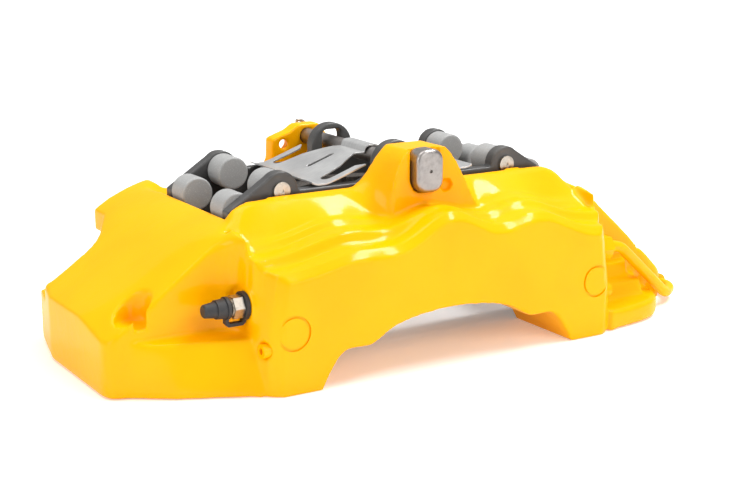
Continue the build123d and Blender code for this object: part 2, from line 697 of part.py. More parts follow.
def pad_plate(sign):
    """Steel backing plate."""
    plate = between_y(plate_outline(), sign, PLATE_FACE_Y, PLATE_BACK_Y)
    for x, z in weight_places():
        plate -= between_y(Pos(x, z) * Circle(RIVET_SHANK_RADIUS), sign, PLATE_FACE_Y - 1, PLATE_BACK_Y + 1)
    return plate


def pad_lining(sign):
    """Friction material, split by a groove and chamfered at its two ends."""
    half = PAD_HALF_LENGTH - LINING_INSET
    top_radius = DISC_RADIUS - LINING_BELOW_DISC_EDGE
    band = make_face(
        [
            ThreePointArc(
                (-half, PAD_BOTTOM_END + 2), (0, PAD_BOTTOM_MIDDLE + 1), (half, PAD_BOTTOM_END + 2)
            ),
            Line((half, PAD_BOTTOM_END + 2), (half, WINDOW_RIM_Z)),
            Line((half, WINDOW_RIM_Z), (-half, WINDOW_RIM_Z)),
            Line((-half, WINDOW_RIM_Z), (-half, PAD_BOTTOM_END + 2)),
        ]
    )
    band &= Pos(0, -AXLE_DROP) * Circle(top_radius)
    lining = between_y(band, sign, LINING_FACE_Y, PLATE_FACE_Y)
    depth = LINING_THICKNESS * 0.8
    lining -= between_y(Rectangle(LINING_GROOVE, 400), sign, LINING_FACE_Y - 1, LINING_FACE_Y + depth)
    for end_sign in ENDS.values():
        wedge = polygon_face(
            (end_sign * (half + 1), sign * (LINING_FACE_Y - 1)),
            (end_sign * (half + 1), sign * (LINING_FACE_Y + LINING_CHAMFER)),
            (end_sign * (half - 2 * LINING_CHAMFER - 1), sign * (LINING_FACE_Y - 1)),
        )
        lining -= solid_along_z(wedge, -10, BOSS_TOP)
    return lining


def pad_shim(sign):
    """Thin damping shim between the plate and the pistons."""
    half = PAD_HALF_LENGTH - SHIM_INSET
    outline = make_face(
        [
            ThreePointArc(
                (-half, PAD_BOTTOM_END + 4), (0, PAD_BOTTOM_MIDDLE + 2), (half, PAD_BOTTOM_END + 4)
            ),
            Line((half, PAD_BOTTOM_END + 4), (half, SHIM_TOP - 6)),
            Line((half, SHIM_TOP - 6), (half - 6, SHIM_TOP)),
            Line((half - 6, SHIM_TOP), (-half + 6, SHIM_TOP)),
            Line((-half + 6, SHIM_TOP), (-half, SHIM_TOP - 6)),
            Line((-half, SHIM_TOP - 6), (-half, PAD_BOTTOM_END + 4)),
        ]
    )
    return between_y(outline, sign, PLATE_BACK_Y, SHIM_BACK_Y)


def pad_weights(sign):
    """Four round counterweights that stand over the disc's edge."""
    weights = []
    for x, z in weight_places():
        far = sign * (PLATE_FACE_Y - WEIGHT_LENGTH)
        near = sign * PLATE_FACE_Y
        weight = rod_y(x, min(far, near), max(far, near), z, WEIGHT_RADIUS)
        rims = weight.edges().filter_by(GeomType.CIRCLE).sort_by(Axis.Y)
        weight = chamfer(rims[0 if sign > 0 else -1], WEIGHT_CHAMFER)
        shank = Pos(x, z) * Circle(RIVET_SHANK_RADIUS)
        weight -= between_y(shank, sign, PLATE_FACE_Y - RIVET_GRIP, PLATE_FACE_Y + 1)
        weights.append(weight)
    return weights


def pad_rivets(sign):
    """Rivets that hold the counterweights, headed on the back of the plate."""
    rivets = []
    for x, z in weight_places():
        head_end = PLATE_BACK_Y + RIVET_HEAD_HEIGHT
        shank = Pos(x, z) * Circle(RIVET_SHANK_RADIUS)
        head = Pos(x, z) * Circle(RIVET_HEAD_RADIUS)
        rivet = between_y(shank, sign, PLATE_FACE_Y - RIVET_GRIP, PLATE_BACK_Y)
        rivets.append(rivet + between_y(head, sign, PLATE_BACK_Y, head_end))
    return rivets


# ---------------------------------------------------------------- pistons and rings
def piston(sign, name):
    """A cup piston, open towards its pad."""
    x, z = PISTONS[name]
    radius = BORE_RADII[name] - PISTON_FIT
    cup = between_y(Pos(x, z) * Circle(radius), sign, SHIM_BACK_Y, PISTON_END_Y)
    ends = cup.edges().filter_by(GeomType.CIRCLE).sort_by(Axis.Y)
    cup = chamfer(ends[-1 if sign > 0 else 0], PISTON_CHAMFER)
    return cup - between_y(
        Pos(x, z) * Circle(radius - PISTON_WALL), sign, SHIM_BACK_Y - 1, SHIM_BACK_Y + PISTON_CUP_DEPTH
    )


def bore_ring(sign, name, from_mouth, width, depth):
    """A rubber ring that sits in a groove of the bore and wipes the piston."""
    x, z = PISTONS[name]
    near = BORE_FACE_Y + from_mouth + RING_FIT
    outer = BORE_RADII[name] + depth - RING_FIT
    ring = Circle(outer) - Circle(BORE_RADII[name] - PISTON_FIT + RING_WIPE)
    return between_y(Pos(x, z) * ring, sign, near, near + width - 2 * RING_FIT)


# ---------------------------------------------------------------- pin, clip, spring, abutments
def pin_head_outline(clearance):
    """Outline of the pin's head: an upright oblong with round corners."""
    width = PIN_HEAD_WIDTH + 2 * clearance
    height = PIN_HEAD_HEIGHT + 2 * clearance
    return RectangleRounded(width, height, PIN_HEAD_CORNER + clearance)


def retaining_pin():
    """Round pin with an oblong head, a centre mark and a cross hole for its clip."""
    head_face = -(PIN_SEAT_Y + PIN_HEAD_LENGTH)
    head = solid_along_y(Pos(PIN_X, PIN_Z) * pin_head_outline(0), head_face, -PIN_SEAT_Y)
    head = fillet(head.faces().sort_by(Axis.Y)[0].edges(), PIN_HEAD_ROUND)
    shank = rod_y(PIN_X, -PIN_SEAT_Y, PIN_END_Y, PIN_Z, PIN_RADIUS)
    shank = chamfer(shank.edges().filter_by(GeomType.CIRCLE).sort_by(Axis.Y)[-1], 0.8)
    dimple = rod_y(PIN_X, head_face - 1, head_face + PIN_DIMPLE_DEPTH, PIN_Z, PIN_DIMPLE_RADIUS)
    cross = rod_z(PIN_X, CLIP_Y, PIN_Z - 2 * PIN_RADIUS, PIN_Z + 2 * PIN_RADIUS, CLIP_WIRE_RADIUS + CLIP_FIT)
    return head + shank - dimple - cross


def pin_clip():
    """Wire clip: a straight leg through the pin and a bow round it."""
    bow = PIN_RADIUS + 3
    leg = rod_z(PIN_X, CLIP_Y, PIN_Z - bow, PIN_Z + bow, CLIP_WIRE_RADIUS)
    ring = Pos(PIN_X, CLIP_Y, PIN_Z) * Rot(90, 0, 0) * Torus(bow, CLIP_WIRE_RADIUS)
    half = Pos(PIN_X + bow, CLIP_Y, PIN_Z) * Box(2 * bow, 4 * CLIP_WIRE_RADIUS, 4 * bow)
    return leg + (ring & half)


def spring_line(rise=0.0):
    """One face of the spring's sheet along X: feet, slopes and a saddle over the pin."""
    rest = PAD_TOP + SPRING_GAP + rise
    saddle = PIN_Z + PIN_RADIUS + SPRING_GAP + rise
    shoulder = saddle - SPRING_SADDLE_DROP
    half = [
        (SPRING_HALF_LENGTH, rest),
        (SPRING_FOOT_X, rest),
        (SPRING_SHOULDER_X, shoulder),
        (SPRING_SADDLE_X, shoulder + 0.4),
        (PIN_RADIUS, saddle - 1.0),
        (PIN_RADIUS / 2, saddle),
    ]
    left = [(PIN_X - x, z) for x, z in half]
    right = [(PIN_X + x, z) for x, z in reversed(half)]
    return left + right


def pad_spring():
    """Pressed sheet spring that saddles the pin, with feet over the two plates."""
    sheet = solid_along_y(
        polygon_face(*spring_line(), *reversed(spring_line(SPRING_THICKNESS))), -SPRING_FOOT_Y, SPRING_FOOT_Y
    )
    quarter = [
        (SPRING_HALF_LENGTH, SPRING_FOOT_Y),
        (SPRING_FOOT_X + 1, SPRING_FOOT_Y),
        (SPRING_FOOT_X, SPRING_HALF_WIDTH),
        (SPRING_FOOT_X - 7, SPRING_HALF_WIDTH - 1),
        (SPRING_SHOULDER_X + 8, SPRING_WAIST + 2),
        (SPRING_SHOULDER_X, SPRING_WAIST),
    ]
    corners = list(quarter)
    corners += [(-x, y) for x, y in reversed(quarter)]
    corners += [(-x, -y) for x, y in quarter]
    corners += [(x, -y) for x, y in reversed(quarter)]
    plan = polygon_face(*corners)
    slot_x = (SPRING_FOOT_X + SPRING_SHOULDER_X) / 2
    slot = SlotOverall(SPRING_SLOT_LENGTH, SPRING_SLOT_WIDTH)
    plan -= Pos(-slot_x, 0) * slot + Pos(slot_x, 0) * slot
    return sheet & solid_along_z(Pos(PIN_X, 0) * plan, PAD_TOP - 5, BOSS_TOP)


def abutment_tab(end_sign, side_sign, clearance):
    """The folded tab of an abutment plate, pressed into the casting."""
    length = ABUTMENT_TAB_LENGTH + clearance
    x = POCKET_HALF_LENGTH - ABUTMENT_THICKNESS + (length + ABUTMENT_THICKNESS) / 2
    y = (ABUTMENT_NEAR_Y + BORE_FACE_Y) / 2
    width = ABUTMENT_TAB_WIDTH + 2 * clearance
    thickness = ABUTMENT_THICKNESS + 2 * clearance
    tab = Box(length + ABUTMENT_THICKNESS, width, thickness)
    return Pos(end_sign * x, side_sign * y, ABUTMENT_TAB_Z) * tab


def abutment_plate(end_sign, side_sign):
    """Steel wear plate that a pad's end slides on."""
    width = BORE_FACE_Y - ABUTMENT_NEAR_Y - 0.5
    height = ABUTMENT_TOP - ABUTMENT_BOTTOM
    plate = Pos(
        end_sign * (POCKET_HALF_LENGTH - ABUTMENT_THICKNESS / 2),
        side_sign * (ABUTMENT_NEAR_Y + width / 2),
        ABUTMENT_BOTTOM + height / 2,
    ) * Box(ABUTMENT_THICKNESS, width, height)
    return plate + abutment_tab(end_sign, side_sign, 0.0)


# ---------------------------------------------------------------- screws, caps and the pipe
def turned_x(outline, end_sign, x, y, z):
    """A turned piece along X from a half section of (distance outwards, radius) corners."""
    profile = polygon_face(*[(distance, radius) for distance, radius in outline])
    piece = revolve(profile, Axis.X)
    if end_sign < 0:
        piece = Rot(0, 180, 0) * piece
    return Pos(x, y, z) * piece


def hexagon_x(across_flats, x_low, x_high, y, z):
    """A hexagonal prism along X."""
    outline = RegularPolygon(across_flats / 2, 6, major_radius=False)
    return Pos(x_low, y, z) * extrude(Plane.YZ * outline, amount=x_high - x_low)


def bleed_screw(side):
    """Bleed screw at the left end: thread, hexagon and a drilled nipple."""
    wall = PORT_X
    y = SIDES[side] * GALLERY_Y
    radius = PORT_SCREW_RADIUS - THREAD_FIT
    hex_start = STRAP_RING_WIDTH + 0.6
    hex_end = hex_start + SCREW_HEX_LENGTH
    tip = hex_end + NIPPLE_LENGTH
    outline = [
        (-PORT_DEPTH + 0.5, 0.8),
        (-PORT_DEPTH + 0.5, 1.6),
        (-PORT_DEPTH + 3.5, radius - 0.6),
        (-PORT_DEPTH + 4.0, radius),
        (-1.0, radius),
        (0.0, radius - 0.8),
        (hex_end + 0.5, radius - 0.8),
        (hex_end + 1.5, NIPPLE_RADIUS - 0.6),
        (tip - 4.0, NIPPLE_RADIUS - 0.6),
        (tip - 3.5, NIPPLE_RADIUS),
        (tip - 2.0, NIPPLE_RADIUS),
        (tip, NIPPLE_RADIUS - 1.2),
        (tip, 0.8),
    ]
    screw = turned_x(outline, -1, -wall, y, GALLERY_Z)
    hexagon = hexagon_x(SCREW_HEX, -wall - hex_end, -wall - hex_start, y, GALLERY_Z)
    bore = rod_x(-wall - hex_end - 1, -wall - hex_start + 1, y, GALLERY_Z, 0.8)
    return screw + (hexagon - bore)


def bleed_cap(side):
    """Rubber cap with its strap and the ring that keeps it on the screw."""
    wall = PORT_X
    y = SIDES[side] * GALLERY_Y
    ring_hole = PORT_SCREW_RADIUS - THREAD_FIT - 0.8 + CAP_FIT
    hex_end = STRAP_RING_WIDTH + 0.6 + SCREW_HEX_LENGTH
    tip = hex_end + NIPPLE_LENGTH
    start = hex_end + 1.7
    inner = NIPPLE_RADIUS + CAP_FIT
    outer = inner + CAP_WALL
    cap = [
        (start, inner),
        (start, outer + 0.6),
        (start + 1.6, outer + 0.6),
        (start + 1.6, outer),
        (tip - 3.0, outer - 0.3),
        (tip - 3.0, outer - 0.9),
        (tip + 2.6, outer - 1.6),
        (tip + 3.2, outer - 2.2),
        (tip + 3.2, 0.0),
        (tip + CAP_FIT, 0.0),
        (tip + CAP_FIT, inner),
    ]
    ring = [
        (0.3, ring_hole),
        (0.3, ring_hole + 2.6),
        (STRAP_RING_WIDTH + 0.3, ring_hole + 2.6),
        (STRAP_RING_WIDTH + 0.3, ring_hole),
    ]
    moulding = turned_x(cap, -1, -wall, y, GALLERY_Z) + turned_x(ring, -1, -wall, y, GALLERY_Z)
    low = -STRAP_DROP
    strap = polygon_face(
        (-0.3, -ring_hole - 1.2),
        (-0.3, low + 1.5),
        (-1.8, low),
        (-start - 0.2, low),
        (-start - 1.6, low + 1.5),
        (-start - 1.6, -inner - CAP_WALL / 2),
        (-start, -inner - CAP_WALL / 2),
        (-start, low + STRAP_THICKNESS + 0.4),
        (-start + 0.6, low + STRAP_THICKNESS),
        (-2.4, low + STRAP_THICKNESS),
        (-0.3 - STRAP_THICKNESS, low + STRAP_THICKNESS + 0.6),
        (-0.3 - STRAP_THICKNESS, -ring_hole - 1.2),
    )
    band = solid_along_y(strap, -STRAP_WIDTH / 2, STRAP_WIDTH / 2)
    return moulding + Pos(-wall, y, GALLERY_Z) * band


def flare_nut(side):
    """Pipe nut screwed into the right end wall of one half."""
    wall = PORT_X
    y = SIDES[side] * GALLERY_Y
    radius = PORT_SCREW_RADIUS - THREAD_FIT
    thread = rod_x(wall - PORT_DEPTH + 2, wall, y, GALLERY_Z, radius)
    hexagon = hexagon_x(NUT_HEX, wall, wall + NUT_HEX_LENGTH, y, GALLERY_Z)
    bore = rod_x(wall - PORT_DEPTH, wall + NUT_HEX_LENGTH + 1, y, GALLERY_Z, PIPE_RADIUS + PIN_FIT)
    return thread + hexagon - bore


def pipe_run_x():
    """Distance of the pipe's straight run beyond the right end face."""
    return END_FACE_X["right"] + PIPE_TO_END_FACE + SLEEVE_RADIUS


def crossover_pipe():
    """Steel pipe that joins the two halves round the right end."""
    x = pipe_run_x()
    path = FilletPolyline(
        (PORT_X - PORT_DEPTH + 3, -GALLERY_Y, GALLERY_Z),
        (PORT_X + NUT_HEX_LENGTH + 8, -GALLERY_Y, GALLERY_Z),
        (x - 12, -BLOCK_FRONT_Y - 5, PIPE_HEIGHT),
        (x, -BLOCK_FRONT_Y + 4, PIPE_HEIGHT),
        (x, REAR_CORNER_Y["right"] + 8, PIPE_HEIGHT),
        (x - 8, MOUNT_Y + 14, MOUNT_FACE_Z + 5),
        (MOUNT_X + 2, GALLERY_Y, GALLERY_Z),
        (PORT_X - PORT_DEPTH + 3, GALLERY_Y, GALLERY_Z),
        radius=[16, 11, 12, 9, 9, 14],
    )
    start = Plane(origin=path @ 0, z_dir=path % 0)
    return sweep(start * Circle(PIPE_RADIUS), path=path) - sweep(start * Circle(PIPE_BORE_RADIUS), path=path)


def pipe_sleeve():
    """Protective sleeve on the pipe's straight run across the right end face."""
    ring = Circle(SLEEVE_RADIUS) - Circle(PIPE_RADIUS + SLEEVE_BORE_GAP)
    low = -BLOCK_FRONT_Y + SLEEVE_FROM_CORNER
    high = REAR_CORNER_Y["right"] - SLEEVE_FROM_CORNER / 2
    return solid_along_y(Pos(pipe_run_x(), PIPE_HEIGHT) * ring, low, high)


def gallery_plugs():
    """Two socket plugs low in the end walls of the wheel-side half."""
    plugs = []
    for sign in ENDS.values():
        low, high = sorted((sign * (END_WALL_X - PLUG_LENGTH), sign * (END_WALL_X - PLUG_SINK)))
        plug = rod_x(low, high, -PLUG_Y, PLUG_Z, PLUG_RADIUS)
        low, high = sorted((sign * (END_WALL_X - PLUG_LENGTH / 2), sign * END_WALL_X))
        plugs.append(plug - hexagon_x(PLUG_SOCKET, low, high, -PLUG_Y, PLUG_Z))
    return plugs


def write(name, shape):
    """Write one node as a STEP file of the same name."""
    solids = shape if isinstance(shape, list) else list(shape.solids())
    compound = solids[0] if len(solids) == 1 else Compound(children=solids)
    export_step(compound, f"parts/{name}.step")
    print(name, len(solids), round(sum(solid.volume for solid in solids), 1))


def main():
    """Build every piece and write it."""
    write("caliper_body", caliper_body())
    for side, sign in SIDES.items():
        for name in PISTONS:
            write(f"{side}_piston_{name}", piston(sign, name))
            write(f"{side}_seal_{name}", bore_ring(sign, name, SEAL_FROM_MOUTH, SEAL_WIDTH, SEAL_DEPTH))
            write(f"{side}_dust_ring_{name}", bore_ring(sign, name, BOOT_FROM_MOUTH, BOOT_WIDTH, BOOT_DEPTH))
        write(f"{side}_pad_plate", pad_plate(sign))
        write(f"{side}_pad_lining", pad_lining(sign))
        write(f"{side}_pad_shim", pad_shim(sign))
        write(f"{side}_pad_weights", pad_weights(sign))
        write(f"{side}_pad_rivets", pad_rivets(sign))
        write(f"{side}_bleed_screw", bleed_screw(side))
        write(f"{side}_bleed_cap", bleed_cap(side))
        write(f"{side}_flare_nut", flare_nut(side))
        for end, end_sign in ENDS.items():
            write(f"{side}_abutment_plate_{end}", abutment_plate(end_sign, sign))
    write("retaining_pin", retaining_pin())
    write("pin_clip", pin_clip())
    write("pad_spring", pad_spring())
    write("crossover_pipe", crossover_pipe())
    write("pipe_sleeve", pipe_sleeve())
    write("gallery_plugs", gallery_plugs())


main()
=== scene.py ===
import json
import logging
import math
from collections import defaultdict
from collections.abc import Callable
from dataclasses import dataclass
from enum import Enum
from functools import cached_property

import bmesh
import bpy
from mathutils import Matrix, Vector


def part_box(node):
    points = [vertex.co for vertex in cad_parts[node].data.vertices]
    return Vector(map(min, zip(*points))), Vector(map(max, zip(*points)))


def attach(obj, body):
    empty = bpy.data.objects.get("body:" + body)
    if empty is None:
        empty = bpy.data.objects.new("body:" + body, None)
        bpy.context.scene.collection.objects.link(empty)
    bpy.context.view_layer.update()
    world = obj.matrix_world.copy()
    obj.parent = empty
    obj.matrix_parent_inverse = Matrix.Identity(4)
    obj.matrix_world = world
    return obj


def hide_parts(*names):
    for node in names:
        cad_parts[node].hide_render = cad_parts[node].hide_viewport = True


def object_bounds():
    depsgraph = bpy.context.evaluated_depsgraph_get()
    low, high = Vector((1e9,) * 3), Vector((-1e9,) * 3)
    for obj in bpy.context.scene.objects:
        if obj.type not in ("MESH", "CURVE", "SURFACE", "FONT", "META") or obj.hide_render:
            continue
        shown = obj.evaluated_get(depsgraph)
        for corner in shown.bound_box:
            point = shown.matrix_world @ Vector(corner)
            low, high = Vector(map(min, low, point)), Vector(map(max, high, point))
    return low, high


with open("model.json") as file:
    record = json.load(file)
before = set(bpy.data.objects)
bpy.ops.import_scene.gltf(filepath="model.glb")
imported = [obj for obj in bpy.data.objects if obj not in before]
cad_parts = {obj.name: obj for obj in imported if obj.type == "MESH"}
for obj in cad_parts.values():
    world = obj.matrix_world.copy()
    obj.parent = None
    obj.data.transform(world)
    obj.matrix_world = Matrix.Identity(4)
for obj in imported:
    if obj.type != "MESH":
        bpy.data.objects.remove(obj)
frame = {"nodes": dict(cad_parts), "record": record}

MM = 0.001
CAD_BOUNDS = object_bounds()
NODES = frame["nodes"]
SIDES = ("outer", "inner")
BORES = ("left", "middle", "right")
ENDS = ("left", "right")
MIX_SHARE, MIX_FIRST, MIX_SECOND, MIX_RESULT = 0, 6, 7, 2
RANGE_LOW, RANGE_HIGH = 1, 2
SMOOTH_FACTOR = 0.5
LOG = logging.getLogger("caliper")


# ------------------------------------------------------------------------------ shader maths
class Value:
    """A shader socket whose Python operators add the Math nodes that they stand for."""

    def __init__(self, graph: "Graph", socket: bpy.types.NodeSocket) -> None:
        """Keep the socket and the graph it belongs to."""
        self.graph = graph
        self.socket = socket

    def _math(self, operation: str, first: "Value | float", second: "Value | float") -> "Value":
        """One Math node on two values."""
        return self.graph.add("ShaderNodeMath", {"operation": operation}, {0: first, 1: second})

    def __add__(self, other: "Value | float") -> "Value":
        """Sum."""
        return self._math("ADD", self, other)

    def __sub__(self, other: "Value | float") -> "Value":
        """Difference."""
        return self._math("SUBTRACT", self, other)

    def __rsub__(self, other: float) -> "Value":
        """Difference from a number."""
        return self._math("SUBTRACT", other, self)

    def __mul__(self, other: "Value | float") -> "Value":
        """Product."""
        return self._math("MULTIPLY", self, other)

    __radd__ = __add__
    __rmul__ = __mul__

    def between(self, low: float, high: float) -> "Value":
        """How far the value is from low to high, smoothly, from 0 to 1.

        Args:
            low: The value that gives 0.
            high: The value that gives 1.

        Returns:
            The smooth step as a new value.
        """
        settings = {"interpolation_type": "SMOOTHSTEP"}
        sockets = {"Value": self, RANGE_LOW: low, RANGE_HIGH: high}
        return self.graph.add("ShaderNodeMapRange", settings, sockets)


class Graph:
    """The node tree of one material, with one way to add any node."""

    def __init__(self, name: str) -> None:
        """Start a material that holds a Principled shader and its output."""
        self.material = bpy.data.materials.new(name)
        self.material.use_nodes = True
        self.tree = self.material.node_tree
        self.shader = self.tree.nodes["Principled BSDF"]

    def add(self, kind: str, settings: dict | None = None, sockets: dict | None = None,
            output: int | str = 0) -> Value:
        """Add one node.

        Args:
            kind: The node's type name.
            settings: The node's own properties, which are set first.
            sockets: What goes into its inputs, by name or number: numbers, colours or values.
            output: Which output to give back.

        Returns:
            The chosen output as a value.
        """
        node = self.tree.nodes.new(kind)
        for name, setting in (settings or {}).items():
            setattr(node, name, setting)
        for key, source in (sockets or {}).items():
            self.feed(node.inputs[key], source)
        return Value(self, node.outputs[output])

    def feed(self, socket: bpy.types.NodeSocket, source: "Value | float | tuple") -> None:
        """Link a value to a socket, or set the socket's own number or colour."""
        if isinstance(source, Value):
            self.tree.links.new(source.socket, socket)
        else:
            socket.default_value = source

    def place(self) -> Value:
        """The point on the object, in metres."""
        return self.add("ShaderNodeTexCoord", output="Object")

    def noise(self, scale: float, detail: float = 3.0, stretch: tuple = (1.0, 1.0, 1.0)) -> Value:
        """Smooth noise over the object.

        Args:
            scale: Features per metre.
            detail: How many finer layers are added.
            stretch: How much finer the noise is along X, Y and Z.

        Returns:
            The noise, from 0 to 1.
        """
        spot = self.add("ShaderNodeVectorMath", {"operation": "MULTIPLY"}, {0: self.place(), 1: stretch})
        return self.add("ShaderNodeTexNoise", None, {"Vector": spot, "Scale": scale, "Detail": detail})

    def mix(self, share: "Value | float", first: tuple, second: tuple) -> Value:
        """Blend two colours by a share."""
        sockets = {MIX_SHARE: share, MIX_FIRST: first, MIX_SECOND: second}
        return self.add("ShaderNodeMix", {"data_type": "RGBA"}, sockets, MIX_RESULT)

    def bump(self, height: Value, depth: float) -> Value:
        """A normal bent by a height, whose full range is depth metres."""
        sockets = {"Height": height, "Distance": depth, "Strength": 1.0}
        return self.add("ShaderNodeBump", None, sockets, "Normal")

    def finish(self, **sockets: "Value | float | tuple") -> bpy.types.Material:
        """Set the shader's sockets, named with _ for a space, and give the material back."""
        for name, source in sockets.items():
            self.feed(self.shader.inputs[name.replace("_", " ")], source)
        return self.material


# ---------------------------------------------------------------------------------- finishes
@dataclass(frozen=True)
class PowderCoat:
    """Glossy powder coat over a cast surface."""

    name: str = "powder_coat"
    colour: tuple = (0.94, 0.425, 0.0, 1.0)
    deep_colour: tuple = (0.92, 0.395, 0.0, 1.0)
    roughness: float = 0.36
    specular: float = 0.02
    coat: float = 0.24
    coat_roughness: float = 0.1
    patch_scale: float = 22.0
    cast_scale: float = 130.0
    peel_scale: float = 900.0
    patch_range: tuple = (0.35, 0.7)
    patch_roughness: float = 0.05
    peel_roughness: float = 0.08
    wave_share: float = 0.8
    relief: float = 0.25 * MM

    def material(self) -> bpy.types.Material:
        """Build the material: even colour, slow cast waviness and a fine orange peel."""
        graph = Graph(self.name)
        patches = graph.noise(self.patch_scale, detail=2.0)
        waves = graph.noise(self.cast_scale, detail=2.0)
        peel = graph.noise(self.peel_scale, detail=1.0)
        return graph.finish(
            Base_Color=graph.mix(patches.between(*self.patch_range), self.colour, self.deep_colour),
            Roughness=self.roughness + self.peel_roughness * (peel - 0.5) + self.patch_roughness * patches,
            Normal=graph.bump(self.wave_share * waves + (1 - self.wave_share) * peel, self.relief),
            Coat_Weight=self.coat,
            Coat_Roughness=self.coat_roughness,
            Specular_IOR_Level=self.specular,
        )


@dataclass(frozen=True)
class Metal:
    """Bare or plated metal with a grain."""

    name: str
    colour: tuple
    dark_colour: tuple
    roughness: float = 0.3
    grain_scale: float = 400.0
    stretch: tuple = (1.0, 1.0, 1.0)
    grain_depth: float = 0.03 * MM
    metallic: float = 1.0
    stain_scale: float = 60.0
    grain_roughness: float = 0.22
    stain_roughness: float = 0.12
    tone_range: tuple = (0.3, 0.7)

    def material(self) -> bpy.types.Material:
        """Build the material: a stretched grain in colour, roughness and relief."""
        graph = Graph(self.name)
        grain = graph.noise(self.grain_scale, detail=4.0, stretch=self.stretch)
        stain = graph.noise(self.stain_scale, detail=3.0)
        tone = (0.5 * grain + 0.5 * stain).between(*self.tone_range)
        wear = self.grain_roughness * (grain - 0.5) + self.stain_roughness * (stain - 0.5)
        return graph.finish(
            Base_Color=graph.mix(tone, self.dark_colour, self.colour),
            Roughness=self.roughness + wear,
            Metallic=self.metallic,
            Normal=graph.bump(grain, self.grain_depth),
        )


@dataclass(frozen=True)
class Coated:
    """Satin coat or moulded rubber, with a fine grain and a little dust."""

    name: str
    colour: tuple
    dust_colour: tuple
    roughness: float = 0.45
    grain_scale: float = 1100.0
    grain_depth: float = 0.04 * MM
    dust: float = 0.5
    dust_scale: float = 55.0
    dust_range: tuple = (0.45, 0.75)
    grain_roughness: float = 0.18
    dust_roughness: float = 0.15

    def material(self) -> bpy.types.Material:
        """Build the material: grain in roughness and relief, dust in broad patches."""
        graph = Graph(self.name)
        grain = graph.noise(self.grain_scale, detail=2.0)
        dust = graph.noise(self.dust_scale, detail=4.0).between(*self.dust_range) * self.dust
        return graph.finish(
            Base_Color=graph.mix(dust, self.colour, self.dust_colour),
            Roughness=self.roughness + self.grain_roughness * (grain - 0.5) + self.dust_roughness * dust,
            Normal=graph.bump(grain, self.grain_depth),
        )


@dataclass(frozen=True)
class Speckled:
    """A matte surface with light and dark specks, such as cast iron or friction material."""

    name: str
    colour: tuple
    speck_colour: tuple
    speck_scale: float = 1500.0
    speck_size: float = 0.25
    roughness: float = 0.7
    relief: float = 0.12 * MM
    mottle_scale: float = 260.0
    mottle_roughness: float = 0.2
    speck_weight: float = 0.65
    mottle_weight: float = 0.5
    mottle_floor: float = 0.3
    mottle_relief: float = 0.6

    def material(self) -> bpy.types.Material:
        """Build the material: cells for the specks over a mottled ground."""
        graph = Graph(self.name)
        mottle = graph.noise(self.mottle_scale, detail=4.0)
        sockets = {"Vector": graph.place(), "Scale": self.speck_scale}
        cells = graph.add("ShaderNodeTexVoronoi", None, sockets, "Distance")
        specks = 1.0 - cells.between(self.speck_size / 2, self.speck_size)
        ground = self.mottle_weight * (mottle - self.mottle_floor)
        share = (self.speck_weight * specks + ground).between(0.0, 1.0)
        return graph.finish(
            Base_Color=graph.mix(share, self.colour, self.speck_colour),
            Roughness=self.roughness + self.mottle_roughness * (mottle - 0.5),
            Normal=graph.bump(self.mottle_relief * mottle + (1 - self.mottle_relief) * cells, self.relief),
        )


class Finishes(Enum):
    """Every finish on the caliper."""

    PAINT = PowderCoat()
    PISTON = Metal("hard_anodised", (0.55, 0.50, 0.42, 1), (0.40, 0.36, 0.30, 1), 0.38, 500.0, (1, 8, 1))
    BRIGHT = Metal("bright_zinc", (0.56, 0.51, 0.44, 1), (0.36, 0.32, 0.27, 1), 0.34, 700.0)
    PIN = Metal("turned_steel", (0.40, 0.37, 0.35, 1), (0.26, 0.24, 0.23, 1), 0.38, 450.0, (1, 4, 1))
    SPRING = Metal("spring_sheet", (0.62, 0.62, 0.61, 1), (0.46, 0.46, 0.46, 1), 0.36, 220.0, (1, 9, 1),
                   metallic=0.7)
    SHIM = Metal("dark_shim", (0.22, 0.22, 0.23, 1), (0.14, 0.14, 0.15, 1), 0.5, 300.0, metallic=0.6)
    PLATE = Coated("black_plate", (0.050, 0.049, 0.048, 1), (0.11, 0.107, 0.10, 1), 0.38)
    RUBBER = Coated("black_rubber", (0.016, 0.016, 0.018, 1), (0.06, 0.058, 0.055, 1), 0.55)
    WEIGHT = Speckled("sintered_grey", (0.30, 0.30, 0.295, 1), (0.46, 0.46, 0.45, 1), 1300.0, 0.3, 0.55,
                      0.1 * MM)
    LINING = Speckled("friction_lining", (0.075, 0.068, 0.062, 1), (0.22, 0.17, 0.12, 1), 900.0, 0.35, 0.9)


_MATERIALS: dict[Finishes, bpy.types.Material] = {}


def dress(obj: bpy.types.Object, finish: Finishes) -> bpy.types.Object:
    """Put one finish all over an object.

    Args:
        obj: The object, which may be a CAD node.
        finish: The finish that it gets.

    Returns:
        The same object.
    """
    if finish not in _MATERIALS:
        _MATERIALS[finish] = finish.value.material()
    obj.data.materials.clear()
    obj.data.materials.append(_MATERIALS[finish])
    return obj


def soften(obj: bpy.types.Object, width: float, segments: int = 3,
           angle: float = 32.0) -> bpy.types.Object:
    """Round an object's sharp edges with a bevel modifier.

    Args:
        obj: The object, which may be a CAD node.
        width: The bevel's width in metres.
        segments: How many faces round each edge.
        angle: Edges that turn by more than this many degrees are rounded.

    Returns:
        The same object.
    """
    bevel = obj.modifiers.new("soft_edges", "BEVEL")
    bevel.width = width
    bevel.segments = segments
    bevel.limit_method = "ANGLE"
    bevel.angle_limit = math.radians(angle)
    bevel.harden_normals = False
    bevel.use_clamp_overlap = True
    obj.data.set_sharp_from_angle(angle=math.radians(angle))
    return obj


def link(name: str, mesh: bpy.types.Mesh) -> bpy.types.Object:
    """A new object in the scene from a mesh."""
    obj = bpy.data.objects.new(name, mesh)
    bpy.context.scene.collection.objects.link(obj)
    return obj


